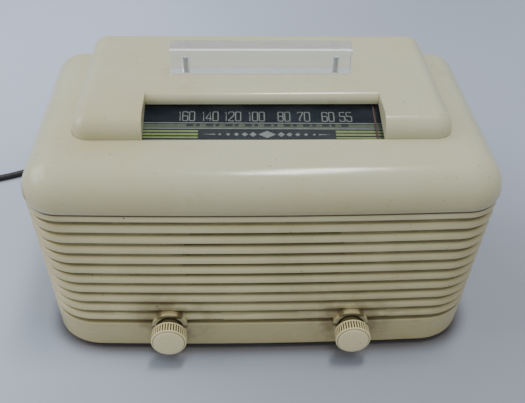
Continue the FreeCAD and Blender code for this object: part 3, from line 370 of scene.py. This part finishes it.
def knob_shade_mask(graph):
    """Painted shade on a knob: 1 in the slots and on the hub of a knob, and in the ring round its cap."""
    low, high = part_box("volume_knob")
    radius = (high.x - low.x) / 2
    flat = graph.stretched((1.0, 0.0, 1.0))
    reaches = [graph.away_from((place[0], 0.0, place[2]), flat) for place in KNOB_PLACES]
    from_axis = graph.math("MINIMUM", *reaches)
    inside = graph.span(from_axis, radius - 0.8 * MM, radius - 0.3 * MM, 1.0, 0.0)
    behind_cap = graph.span(graph.axis("Y"), low.y + 1.5 * MM, low.y + 1.9 * MM)
    ring = graph.span(graph.off(from_axis, 0.9 * radius), 0.15 * MM, 0.42 * MM, 0.6, 0.0)
    return graph.most(graph.times(inside, behind_cap), ring)


def yellowing(graph, blotches, bias, ribbed):
    """How far the plastic has yellowed in patches and streaks; also darker and yellower near its foot and at
    its sides.
    """
    streaks = graph.noise(3.0, 3.0, 0.6, graph.stretched((12.0, 12.0, 1.6)))
    age = graph.plus(graph.span(blotches, 0.35, 0.75), bias)
    age = graph.plus(age, graph.span(streaks, 0.5, 0.8, 0.0, 0.25), True)
    if ribbed:
        band = graph.span(graph.axis("Z"), FIRST_GROOVE, FIRST_GROOVE - GROOVE_HALF, 0.25, 0.85)
        sides = graph.span(graph.off(graph.axis("X"), 0.0), 0.100, 0.155, 0.0, 0.6)
        placed = graph.plus(band, sides)
    else:
        placed = graph.span(graph.axis("Z"), SEAM + 0.030, SEAM + 0.004, 0.0, 0.85)
    return graph.plus(graph.times(age, 0.6), placed, True)


def crease_grime_and_shade(graph, depth, ribbed):
    """Loose dirt with painted shade in creases narrower than the depth, and painted shade along the grooves
    of a ribbed wall.
    """
    crease_shade = graph.span(graph.shade(depth), 0.66, 0.24)
    if ribbed:
        crease_shade = graph.most(crease_shade, groove_shade_mask(graph))
    patchy = graph.span(graph.noise(26.0, 5.0, 0.65), 0.32, 0.66, 0.75, 1.0)
    return graph.times(crease_shade, patchy, True)


def finger_smears(graph, colour):
    """Brown smears on the wall round each knob, where fingers have rubbed."""
    on_wall = graph.span(graph.axis("Y"), COLLAR_FRONT + 1.0 * MM, COLLAR_FRONT + 2.5 * MM)
    for place in KNOB_PLACES:
        ring = graph.times(graph.span(graph.away_from(place), SMEAR_REACH, 0.45 * SMEAR_REACH), on_wall)
        smear = graph.times(ring, graph.span(graph.noise(60.0, 4.0), 0.35, 0.65))
        colour = graph.mix(graph.times(smear, 0.6), colour, SMEAR_BROWN)
    return colour


def ivory(name, fresh, aged, bias, depth, ribbed=False, knob=False):
    """Aged cream plastic: yellowed patches, grime and painted shade in creases, painted shade in the
    grooves, the seam and the knob slots, pits, stains and fine scratches.
    """
    graph = Graph(name, Roughness=0.34)
    blotches = graph.noise(9.0, 4.0, 0.6)
    colour = graph.mix(yellowing(graph, blotches, bias, ribbed), fresh, aged)
    # Grime with painted shade in creases, and painted shade along the grooves
    grime_and_shade = crease_grime_and_shade(graph, depth, ribbed)
    colour = graph.mix(graph.times(grime_and_shade, 0.88), colour, SHADE_AND_GRIME)
    # Painted shade: dark in the seam, or in the knob slots, on the hub and in the ring round the cap
    painted_shade = knob_shade_mask(graph) if knob else seam_shade_mask(graph)
    colour = graph.mix(graph.times(painted_shade, 0.94), colour, SHADE_AND_GRIME)
    if not knob:
        colour = finger_smears(graph, colour)
    stains = graph.span(graph.noise(13.0, 5.0, 0.7), 0.58, 0.76, 0.0, 0.35)
    colour = graph.mix(stains, colour, STAIN_BROWN)
    specks = graph.most(dark_specks(graph, 420.0, 0.17, 0.61), dark_specks(graph, 150.0, 0.11, 0.60))
    colour = graph.mix(graph.times(specks, 0.8), colour, SPECK_BLACK)

    scratches = graph.noise(40.0, 2.0, 0.5, graph.stretched((1.0, 14.0, 14.0), (0.2, 0.3, 0.5)))
    rough = graph.plus(graph.span(blotches, 0.3, 0.8, 0.17, 0.30), graph.times(grime_and_shade, 0.12))
    rough = graph.plus(rough, graph.times(graph.span(scratches, 0.655, 0.70), 0.12), True)
    peel = graph.bump(graph.noise(700.0, 2.0), 0.00004, 0.5)
    waves = graph.bump(graph.noise(45.0, 2.0), 0.00025, 0.35, peel)
    pits = graph.bump(graph.times(specks, -1.0), 0.0002, 0.7, waves)
    return graph.finish(Base_Color=colour, Roughness=rough, Normal=pits)


def paint_cabinet():
    top = ivory("ivory_top", (0.58, 0.562, 0.37), (0.52, 0.445, 0.228), 0.0, 3.0 * MM)
    # Painted light: the lower cabinet is the same plastic as the top cover, made brighter to stand in for
    # light on its front faces
    lower_brightened = ivory("ivory_lower_brightened", (0.78, 0.695, 0.385), (0.56, 0.470, 0.240), 0.05, 2.6 * MM, ribbed=True)
    knobs = ivory("ivory_knob", (0.90, 0.83, 0.52), (0.80, 0.69, 0.38), 0.0, 2.2 * MM, knob=True)
    wear("top_cover", top)
    wear("lower_cabinet", lower_brightened)
    for knob in KNOBS:
        wear(knob, knobs)


paint_cabinet()


# ---------------------------------------------------------------- dial printing
DIAL_SLOPE = math.radians(14.0)
PRINT_TURN = math.radians(-0.6)
PLATE_THICKNESS = 1.6 * MM
PALE = (0.22, 0.25, 0.225)
BAND_GREEN = (0.088, 0.112, 0.070)
STRIPE_GREEN = (0.22, 0.27, 0.10)
EDGE_GREEN = (0.15, 0.20, 0.085)

# Printed rows, in millimetres up the plate from its foot, and half their length
PRINT_MIDDLE = 18.0
PRINT_HALF = 83.0
PALE_LINES = ((20.2, 20.9), (14.9, 15.6), (4.2, 4.9))
TICK_BAND = (15.6, 19.6)
GREEN_STRIPES = ((11.9, 13.7), (8.9, 10.9), (6.2, 7.8))
FOOT_STRIPE = (1.2, 3.3)
TICK_ROW = (17.3, 19.6)
FIRST_TICK = -52.0
TICK_PITCH = 6.6
TICK_COUNT = 17
LONG_TICK = 4.8
SHORT_TICK = 2.4
PLAQUE = (-44.0, 49.3, 5.3, 14.4)
PLAQUE_MIDDLE = (2.6, 9.8)


def dial_place():
    """Matrix from dial coordinates (across, up the slope, out of the plate) to the frame."""
    low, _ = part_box("dial_plate")
    foot = Vector((0.0, low.y, low.z + PLATE_THICKNESS * math.cos(DIAL_SLOPE)))
    across = Vector((1, 0, 0))
    up = Vector((0, math.cos(DIAL_SLOPE), math.sin(DIAL_SLOPE)))
    turn = Matrix((across, up, across.cross(up))).transposed().to_4x4()
    return Matrix.Translation(foot) @ turn


DIAL = dial_place()


def printed(x, up):
    """Point on the plate in millimetres, with the slight turn of the printing."""
    above = up - PRINT_MIDDLE
    turned_x = x * math.cos(PRINT_TURN) - above * math.sin(PRINT_TURN)
    turned_up = PRINT_MIDDLE + above * math.cos(PRINT_TURN) + x * math.sin(PRINT_TURN)
    return turned_x * MM, turned_up * MM


def dial_shapes(name, outlines, lift, material):
    """Flat printed shapes as thin slabs: outlines of (x, up) points and a lift, in millimetres."""
    mesh = bmesh.new()
    for outline in outlines:
        base = [printed(x, up) for x, up in outline]
        bottom = [mesh.verts.new(DIAL @ Vector((x, up, 0.0))) for x, up in base]
        top = [mesh.verts.new(DIAL @ Vector((x, up, lift * MM))) for x, up in base]
        mesh.faces.new(top)
        mesh.faces.new(bottom[::-1])
        for index in range(len(base)):
            after = (index + 1) % len(base)
            mesh.faces.new((bottom[index], bottom[after], top[after], top[index]))
    bmesh.ops.recalc_face_normals(mesh, faces=mesh.faces)
    data = bpy.data.meshes.new(name)
    mesh.to_mesh(data)
    mesh.free()
    data.materials.append(material)
    piece = bpy.data.objects.new(name, data)
    bpy.context.scene.collection.objects.link(piece)
    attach(piece, "cabinet")
    return piece


def bar(left, right, low, high):
    return [(left, low), (right, low), (right, high), (left, high)]


def rows(*heights):
    """Full-width bars between pairs of heights."""
    return [bar(-PRINT_HALF, PRINT_HALF, low, high) for low, high in heights]


def ink(name, colour, worn=0.35):
    """Old screen-printed ink: uneven, a little worn through to the dark plate."""
    graph = Graph(name, Roughness=0.45, Specular_IOR_Level=0.3)
    faded = graph.span(graph.noise(160.0, 4.0, 0.7), 0.35, 0.75, 0.0, worn)
    dark = tuple(0.35 * part for part in colour)
    mottled = graph.mix(faded, colour, dark)
    flecks = dark_specks(graph, 900.0, 0.2, 0.58)
    mottled = graph.mix(graph.times(flecks, 0.6), mottled, (0.02, 0.02, 0.02))
    rough = graph.span(graph.noise(220.0), 0.3, 0.7, 0.35, 0.6)
    return graph.finish(Base_Color=mottled, Roughness=rough,
                        Normal=graph.bump(graph.noise(900.0), 0.00002, 0.4))


DIGIT_WIDE = 3.5
DIGIT_HIGH = 8.6
DIGIT_GAP = 1.15
ONE_WIDE = 0.35 * DIGIT_WIDE
STROKE = 0.42
STROKE_FLATNESS = 0.25

# Strokes of each figure in a box one wide and one high
DIGIT_STROKES = {
    "0": [[(0, .08), (0, .92), (.15, 1), (.85, 1), (1, .92), (1, .08), (.85, 0), (.15, 0), (0, .08)]],
    "1": [[(.1, .82), (.5, 1), (.5, 0)]],
    "2": [[(0, .78), (0, .92), (.15, 1), (.85, 1), (1, .92), (1, .62), (0, .1), (0, 0), (1, 0)]],
    "4": [[(.8, 0), (.8, 1), (0, .32), (0, .25), (1.05, .25)]],
    "5": [[(1, 1), (0, 1), (0, .56), (.85, .56), (1, .48), (1, .08), (.85, 0), (.15, 0), (0, .1), (0, .2)]],
    "6": [[(1, .82), (1, .92), (.85, 1), (.15, 1), (0, .92), (0, .08), (.15, 0), (.85, 0), (1, .08),
           (1, .46), (.85, .54), (0, .54)]],
    "7": [[(0, .86), (0, 1), (1, 1), (1, .9), (.35, .3), (.35, 0)]],
    "8": [[(0, .08), (0, .46), (.15, .54), (0, .62), (0, .92), (.15, 1), (.85, 1), (1, .92), (1, .62),
           (.85, .54), (.15, .54)],
          [(.85, .54), (1, .46), (1, .08), (.85, 0), (.15, 0), (0, .08)]],
}
DIAL_NUMBERS = (("160", -52.0), ("140", -35.9), ("120", -20.4), ("100", -4.2),
                ("80", 14.6), ("70", 28.2), ("60", 45.0), ("55", 57.2))
NUMBER_FOOT = 22.6


def make_numbers(material):
    """Narrow dial figures, drawn as thin raised strokes."""
    curve = bpy.data.curves.new("dial_numbers", "CURVE")
    curve.dimensions = "3D"
    curve.bevel_depth = STROKE * MM
    curve.bevel_resolution = 1
    for text, middle in DIAL_NUMBERS:
        widths = [ONE_WIDE if digit == "1" else DIGIT_WIDE for digit in text]
        x = middle - (sum(widths) + DIGIT_GAP * (len(text) - 1)) / 2
        for digit, wide in zip(text, widths):
            for stroke in DIGIT_STROKES[digit]:
                spline = curve.splines.new("POLY")
                spline.points.add(len(stroke) - 1)
                for point, (across, rise) in zip(spline.points, stroke):
                    place = printed(x + across * wide, NUMBER_FOOT + rise * DIGIT_HIGH)
                    point.co = (*place, 0.0, 1.0)
            x += wide + DIGIT_GAP
    numbers = bpy.data.objects.new("dial_numbers", curve)
    numbers.matrix_world = DIAL @ Matrix.Diagonal((1, 1, STROKE_FLATNESS, 1))
    curve.materials.append(material)
    bpy.context.scene.collection.objects.link(numbers)
    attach(numbers, "cabinet")


def tick_marks():
    """Long and short marks in turn."""
    lengths = [SHORT_TICK if index % 2 else LONG_TICK for index in range(TICK_COUNT)]
    lefts = [FIRST_TICK + index * TICK_PITCH for index in range(TICK_COUNT)]
    return [bar(left, left + length, *TICK_ROW) for left, length in zip(lefts, lengths)]


def make_dial():
    """Navy plate with figures, a tick band, green stripes and a plain ornament."""
    pale_ink = ink("ink_pale", PALE)
    make_numbers(pale_ink)
    dial_shapes("dial_lines", rows(*PALE_LINES), 0.10, pale_ink)
    dial_shapes("dial_tick_band", rows(TICK_BAND), 0.06, ink("ink_band", BAND_GREEN, 0.5))
    dark_ink = ink("ink_dark", (0.012, 0.016, 0.02), 0.1)
    dial_shapes("dial_ticks", tick_marks(), 0.12, dark_ink)
    dial_shapes("dial_stripes", rows(*GREEN_STRIPES), 0.08, ink("ink_stripe", STRIPE_GREEN, 0.3))
    dial_shapes("dial_foot_stripe", rows(FOOT_STRIPE), 0.08, ink("ink_edge", EDGE_GREEN, 0.4))
    dial_shapes("dial_plaque", [bar(*PLAQUE)], 0.14, dark_ink)
    make_ornament(pale_ink)


def make_ornament(material):
    """Plain device on the plaque: a lozenge with graded diamonds and tapered rules each side."""
    middle_x, middle_up = PLAQUE_MIDDLE
    rule_half = 0.5

    def diamond(x, half_wide, half_high):
        return [(x - half_wide, middle_up), (x, middle_up - half_high), (x + half_wide, middle_up),
                (x, middle_up + half_high)]

    shapes = [diamond(middle_x, 6.0, 3.3)]
    for side in (-1, 1):
        for index in range(5):
            size = 2.5 - 0.35 * index
            shapes.append(diamond(middle_x + side * (9.5 + 5.6 * index), size, size * 0.9))
        start = middle_x + side * 35.0
        end = middle_x + side * 43.0
        shapes.append([(start, middle_up - rule_half), (end, middle_up), (start, middle_up + rule_half)])
    dial_shapes("dial_ornament", shapes, 0.2, material)


make_dial()


def plate_navy():
    graph = Graph("dial_navy", Roughness=0.35, Specular_IOR_Level=0.08)
    cloudy = graph.span(graph.noise(35.0, 4.0), 0.3, 0.75)
    colour = graph.mix(cloudy, (0.004, 0.007, 0.011), (0.010, 0.016, 0.024))
    dust = dark_specks(graph, 700.0, 0.18, 0.60)
    colour = graph.mix(graph.times(dust, 0.2), colour, (0.12, 0.12, 0.11))
    return graph.finish(Base_Color=colour, Roughness=graph.span(cloudy, 0, 1, 0.3, 0.5),
                        Normal=graph.bump(graph.noise(400.0), 0.00002, 0.4))


def lens_clear():
    """Old clear lens: nearly nothing but its reflections and a thin haze of dust."""
    graph = Graph("lens_clear", Roughness=0.08, IOR=1.49)
    graph.material.surface_render_method = "BLENDED"
    thin, thick = 0.012, 0.035
    wiped = graph.noise(70.0, 4.0, 0.6, graph.stretched((1.0, 3.0, 1.0)))
    haze = graph.span(wiped, 0.3, 0.8, thin, thick)
    return graph.finish(Base_Color=graph.mix(haze, (0.30, 0.32, 0.33), (0.20, 0.19, 0.15)), Alpha=haze,
                        Roughness=graph.span(haze, thin, thick, 0.05, 0.14),
                        Normal=graph.bump(graph.noise(90.0), 0.00004, 0.3))


def pointer_paint():
    graph = Graph("pointer_paint", Roughness=0.4)
    worn = graph.span(graph.noise(300.0, 4.0), 0.4, 0.65)
    return graph.finish(Base_Color=graph.mix(worn, (0.075, 0.030, 0.014), (0.045, 0.025, 0.014)),
                        Roughness=graph.span(worn, 0, 1, 0.35, 0.6),
                        Normal=graph.bump(worn, 0.00003, 0.4))


wear("dial_plate", plate_navy())
wear("dial_lens", lens_clear())
wear("dial_pointer", pointer_paint())


# ---------------------------------------------------------------- handle
def rubbed_highlit_edges(graph):
    """1 along the two front edges of the handle: rubbed matt there, and painted white as a highlight."""
    low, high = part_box("handle")
    section = graph.stretched((0.0, 1.0, 1.0))
    reaches = [graph.away_from((0.0, low.y, height), section) for height in (low.z, high.z)]
    return graph.most(*[graph.span(reach, 0.9 * MM, 1.7 * MM, 1.0, 0.0) for reach in reaches])


def clear_acrylic():
    """Clear acrylic with polished faces, fine scratches and a faint cloudiness; rubbed front edges with a
    painted white highlight, and painted shade near its top face.
    """
    graph = Graph("clear_acrylic", IOR=1.49)
    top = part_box("handle")[1].z
    scratches = graph.noise(60.0, 3.0, 0.6, graph.stretched((1.0, 9.0, 9.0), (0.3, 0.1, 0.7)))
    lines = graph.span(scratches, 0.64, 0.70)
    cloud = graph.span(graph.noise(50.0, 3.0), 0.3, 0.8)
    rubbed_and_highlit = rubbed_highlit_edges(graph)
    rough = graph.plus(graph.span(cloud, 0, 1, 0.015, 0.06), graph.times(lines, 0.18))
    tint = graph.mix(cloud, (0.94, 0.97, 1.0), (0.91, 0.945, 0.985))
    # Painted shade: darker and warmer near the top face
    top_face_shade = graph.span(graph.axis("Z"), top - 0.6 * MM, top - 0.2 * MM)
    tint = graph.mix(top_face_shade, tint, (0.80, 0.79, 0.76))
    shadow = graph.add("ShaderNodeLightPath").outputs["Is Shadow Ray"]
    # Painted highlight: white along the rubbed front edges
    return graph.finish(Base_Color=graph.mix(rubbed_and_highlit, tint, (1.0, 1.0, 1.0)),
                        Roughness=graph.plus(rough, graph.times(rubbed_and_highlit, 0.4)),
                        Transmission_Weight=graph.span(rubbed_and_highlit, 0.0, 1.0, 0.80, 0.08),
                        Alpha=graph.span(shadow, 0.0, 1.0, 1.0, 0.12),
                        Normal=graph.bump(scratches, 0.00003, 0.25))


wear("handle", clear_acrylic())


# ---------------------------------------------------------------- metals, rubber, board and the rest
def metal(name, bright, dull, rough, grain=(1.0, 1.0, 1.0)):
    """Bare metal with tarnish, painted shade in its creases and brushed lines along its grain."""
    graph = Graph(name, Metallic=1.0, Roughness=rough)
    tarnish = graph.span(graph.noise(70.0, 5.0, 0.65), 0.35, 0.72)
    brushed = graph.noise(500.0, 3.0, 0.6, graph.stretched(grain))
    colour = graph.mix(tarnish, bright, dull)
    crease_shade = graph.span(graph.shade(3.0 * MM), 0.8, 0.3)
    # Painted shade: darker in creases narrower than 3 mm
    colour = graph.mix(graph.times(crease_shade, 0.6), colour, tuple(0.25 * part for part in dull))
    lines = graph.span(brushed, 0.3, 0.7, -0.05, 0.08)
    finish = graph.plus(graph.span(tarnish, 0, 1, rough, rough + 0.2), lines, True)
    return graph.finish(Base_Color=colour, Roughness=finish, Normal=graph.bump(brushed, 0.00003, 0.35))


def matt(name, colour, dark, scale, rough=0.75, depth=0.00008, metallic=0.0):
    """Plain surface with mottling, patches of dust and a fine grain."""
    graph = Graph(name, Metallic=metallic, Roughness=rough)
    mottled = graph.span(graph.noise(scale, 5.0, 0.65), 0.3, 0.72)
    fine = graph.noise(scale * 9, 3.0, 0.6)
    shown = graph.mix(mottled, colour, dark)
    dust = graph.span(graph.noise(scale * 2.2, 4.0), 0.55, 0.8, 0.0, 0.22)
    shown = graph.mix(dust, shown, (0.25, 0.23, 0.19))
    return graph.finish(Base_Color=shown, Roughness=graph.span(fine, 0.3, 0.7, rough - 0.1, rough + 0.1),
                        Normal=graph.bump(fine, depth, 0.5))


def tube_glass():
    """Thin clear glass that darkens towards the top of the valves."""
    graph = Graph("tube_glass", Roughness=0.06, IOR=1.5)
    _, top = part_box("output_tube")
    smoke = graph.span(graph.axis("Z"), top.z - 0.02, top.z - 0.004, 0.12, 0.55)
    film = graph.span(graph.noise(60.0, 4.0), 0.3, 0.8, 0.0, 0.08)
    graph.material.surface_render_method = "BLENDED"
    return graph.finish(Base_Color=graph.mix(smoke, (0.55, 0.58, 0.60), (0.09, 0.09, 0.10)),
                        Alpha=graph.plus(smoke, film, True),
                        Roughness=graph.span(film, 0.0, 0.08, 0.04, 0.12),
                        Normal=graph.bump(film, 0.00005, 0.3))


def weave(name, colour, dark, threads):
    """Woven threads with dust on them."""
    graph = Graph(name, Roughness=0.9, Sheen_Weight=0.3)
    across = graph.add("ShaderNodeTexWave", {"Vector": graph.place, "Scale": threads}, bands_direction="X")
    along = graph.add("ShaderNodeTexWave", {"Vector": graph.place, "Scale": threads}, bands_direction="Z")
    cloth = graph.times(across.outputs["Fac"], along.outputs["Fac"])
    dust = graph.span(graph.noise(40.0, 4.0), 0.4, 0.75, 0.0, 0.4)
    shown = graph.mix(dust, graph.mix(cloth, dark, colour), (0.20, 0.17, 0.12))
    return graph.finish(Base_Color=shown, Roughness=graph.span(cloth, 0, 1, 0.95, 0.8),
                        Normal=graph.bump(cloth, 0.0002, 0.6))


def back_board():
    """Pressed fibreboard: long fibres, dark patches and a scuffed face."""
    graph = Graph("back_board", Roughness=0.8)
    fibres = graph.noise(180.0, 5.0, 0.7, graph.stretched((0.25, 1.0, 1.6)))
    patches = graph.span(graph.noise(14.0, 4.0), 0.3, 0.75)
    colour = graph.mix(graph.span(fibres, 0.3, 0.7), (0.115, 0.066, 0.032), (0.20, 0.125, 0.066))
    colour = graph.mix(graph.times(patches, 0.35), colour, (0.08, 0.05, 0.03))
    rubs = graph.noise(50.0, 3.0, 0.6, graph.stretched((3.0, 1.0, 0.6)))
    colour = graph.mix(graph.span(rubs, 0.66, 0.74, 0.0, 0.4), colour, (0.33, 0.25, 0.16))
    return graph.finish(Base_Color=colour, Roughness=graph.span(fibres, 0.3, 0.7, 0.7, 0.92),
                        Normal=graph.bump(fibres, 0.00012, 0.6))


def paint_the_rest():
    steel = metal("plated_steel", (0.62, 0.60, 0.54), (0.40, 0.37, 0.31), 0.38)
    screws = metal("screw_steel", (0.42, 0.40, 0.37), (0.20, 0.16, 0.12), 0.40)
    shafts = metal("shaft_steel", (0.62, 0.62, 0.62), (0.40, 0.39, 0.38), 0.28, (8.0, 0.6, 8.0))
    brass = metal("brass_parts", (0.70, 0.52, 0.24), (0.42, 0.29, 0.12), 0.32)
    aluminium = metal("can_aluminium", (0.72, 0.72, 0.73), (0.50, 0.50, 0.51), 0.36, (6.0, 6.0, 0.5))
    copper = metal("copper_winding", (0.46, 0.20, 0.07), (0.25, 0.10, 0.04), 0.35, (0.4, 3.0, 3.0))
    rubber = matt("cord_rubber", (0.013, 0.013, 0.014), (0.028, 0.027, 0.026), 130.0, 0.48)
    phenolic = matt("black_phenolic", (0.022, 0.018, 0.015), (0.045, 0.035, 0.027), 90.0, 0.5)
    iron = matt("core_iron", (0.10, 0.10, 0.105), (0.17, 0.12, 0.08), 80.0, 0.55, 0.0001, 0.6)
    glass = tube_glass()
    looks = {
        "chassis": steel, "dial_bracket": steel, "gang_frame": steel, "gang_bracket": steel,
        "speaker_basket": steel, "volume_control": steel,
        "cabinet_screws": screws, "back_panel_screws": screws, "handle_screws": screws,
        "speaker_screws": screws, "control_nuts": screws, "pulley_studs": screws,
        "volume_shaft": shafts, "tuning_shaft": shafts, "gang_shaft": shafts,
        "left_pulley": brass, "right_pulley": brass, "tuning_bushing": brass, "lamp_socket": brass,
        "plug_blades": brass,
        "input_if_transformer": aluminium, "output_if_transformer": aluminium, "filter_capacitor": aluminium,
        "gang_stator": aluminium, "gang_rotor": aluminium, "tuning_drum": aluminium,
        "output_transformer_coil": copper, "voice_coil": copper, "loop_antenna": copper,
        "converter_tube": glass, "if_amplifier_tube": glass, "detector_tube": glass, "output_tube": glass,
        "rectifier_tube": glass, "dial_lamp": glass,
        "tube_plates": matt("tube_metal", (0.05, 0.05, 0.05), (0.10, 0.10, 0.10), 120.0, 0.6, 0.00008, 0.5),
        "tube_sockets": phenolic, "tube_bases": phenolic,
        "output_transformer_core": iron, "speaker_magnet": iron,
        "oscillator_coil": matt("coil_former", (0.42, 0.27, 0.12), (0.28, 0.17, 0.07), 90.0, 0.5),
        "speaker_cone": matt("cone_paper", (0.075, 0.07, 0.06), (0.12, 0.11, 0.095), 160.0, 0.9, 0.00012),
        "speaker_baffle": matt("baffle_board", (0.16, 0.11, 0.07), (0.10, 0.07, 0.045), 60.0, 0.85, 0.00012),
        "grille_cloth": weave("grille_fabric", (0.085, 0.062, 0.035), (0.02, 0.015, 0.01), 260.0),
        "dial_string": weave("dial_cord", (0.12, 0.10, 0.07), (0.05, 0.04, 0.03), 900.0),
        "rubber_feet": matt("foot_rubber", (0.02, 0.02, 0.02), (0.045, 0.043, 0.04), 120.0, 0.8),
        "cord_strain_relief": rubber, "power_plug": rubber,
        "back_panel": back_board(),
    }
    for node, material in looks.items():
        wear(node, material)
    cord.data.materials.append(rubber)
    tie.data.materials.append(matt("tie_rubber", (0.03, 0.03, 0.032), (0.06, 0.058, 0.055), 150.0, 0.6))


paint_the_rest()


# ---------------------------------------------------------------- floor and light
FLOOR_REACH = 6.0
FLOOR_DROP = 0.2 * MM
SKY_LEFT = 0.80
SKY_RIGHT = 0.57


def floor_paper():
    """Pale blue paper with painted shade: darker to the right and near the radio, and a painted brown
    contact shadow where the radio stands.
    """
    graph = Graph("floor_paper", Roughness=0.75)
    tone = graph.span(graph.noise(1.6, 2.0), 0.35, 0.7, 0.0, 0.2)
    # Painted shade: darker to the right and near the radio
    painted_shade_right = graph.span(graph.axis("X"), -0.30, 0.36, 0.0, 0.62)
    painted_shadow_near = graph.span(graph.away_from((0.0, 0.0, 0.0)), 0.40, 0.18, 0.0, 0.4)
    tone_and_shade = graph.plus(graph.plus(tone, painted_shade_right), painted_shadow_near, True)
    colour = graph.mix(tone_and_shade, (0.62, 0.695, 0.84), (0.325, 0.35, 0.41))
    # Painted contact shadow: brown-dark where the floor is hidden under and beside the radio
    painted_contact_shadow = graph.span(graph.shade(20.0 * MM), 0.86, 0.50)
    colour = graph.mix(graph.times(painted_contact_shadow, 0.85), colour, (0.110, 0.085, 0.066))
    return graph.finish(Base_Color=colour, Normal=graph.bump(graph.noise(300.0), 0.00005, 0.2))


def make_floor():
    mesh = bmesh.new()
    bmesh.ops.create_grid(mesh, x_segments=1, y_segments=1, size=FLOOR_REACH)
    data = bpy.data.meshes.new("floor")
    mesh.to_mesh(data)
    mesh.free()
    floor = bpy.data.objects.new("floor", data)
    floor.location.z = -FLOOR_DROP
    data.materials.append(floor_paper())
    bpy.context.scene.collection.objects.link(floor)


def area_light(name, place, target, size, watts, colour):
    """Rectangular lamp that faces its target."""
    data = bpy.data.lights.new(name, "AREA")
    data.shape = "RECTANGLE"
    data.size, data.size_y = size
    data.energy = watts
    data.color = colour
    light = bpy.data.objects.new(name, data)
    light.location = place
    light.rotation_mode = "QUATERNION"
    light.rotation_quaternion = (Vector(target) - Vector(place)).to_track_quat("-Z", "Y")
    bpy.context.scene.collection.objects.link(light)


def make_sky():
    """Cool light from all round, weaker from the right than from the left."""
    world = bpy.data.worlds.new("studio")
    world.use_nodes = True
    nodes, links = world.node_tree.nodes, world.node_tree.links
    sky = nodes["Background"]
    sky.inputs["Color"].default_value = (0.84, 0.91, 1.0, 1.0)
    heading = nodes.new("ShaderNodeSeparateXYZ")
    links.new(nodes.new("ShaderNodeTexCoord").outputs["Generated"], heading.inputs[0])
    fall_off = nodes.new("ShaderNodeMapRange")
    ends = {"From Min": -1.0, "From Max": 1.0, "To Min": SKY_LEFT, "To Max": SKY_RIGHT}
    for socket, value in ends.items():
        fall_off.inputs[socket].default_value = value
    links.new(heading.outputs["X"], fall_off.inputs["Value"])
    links.new(fall_off.outputs[0], sky.inputs["Strength"])
    bpy.context.scene.world = world


def make_lamps():
    area_light("ceiling", (0.24, -0.12, 2.2), (0, 0, 0.1), (0.72, 0.22), 22.0, (1.0, 0.98, 0.94))
    area_light("window", (-1.5, 0.1, 1.0), (0, 0, 0.08), (1.2, 1.0), 12.0, (0.96, 0.98, 1.0))


make_floor()
make_sky()
make_lamps()
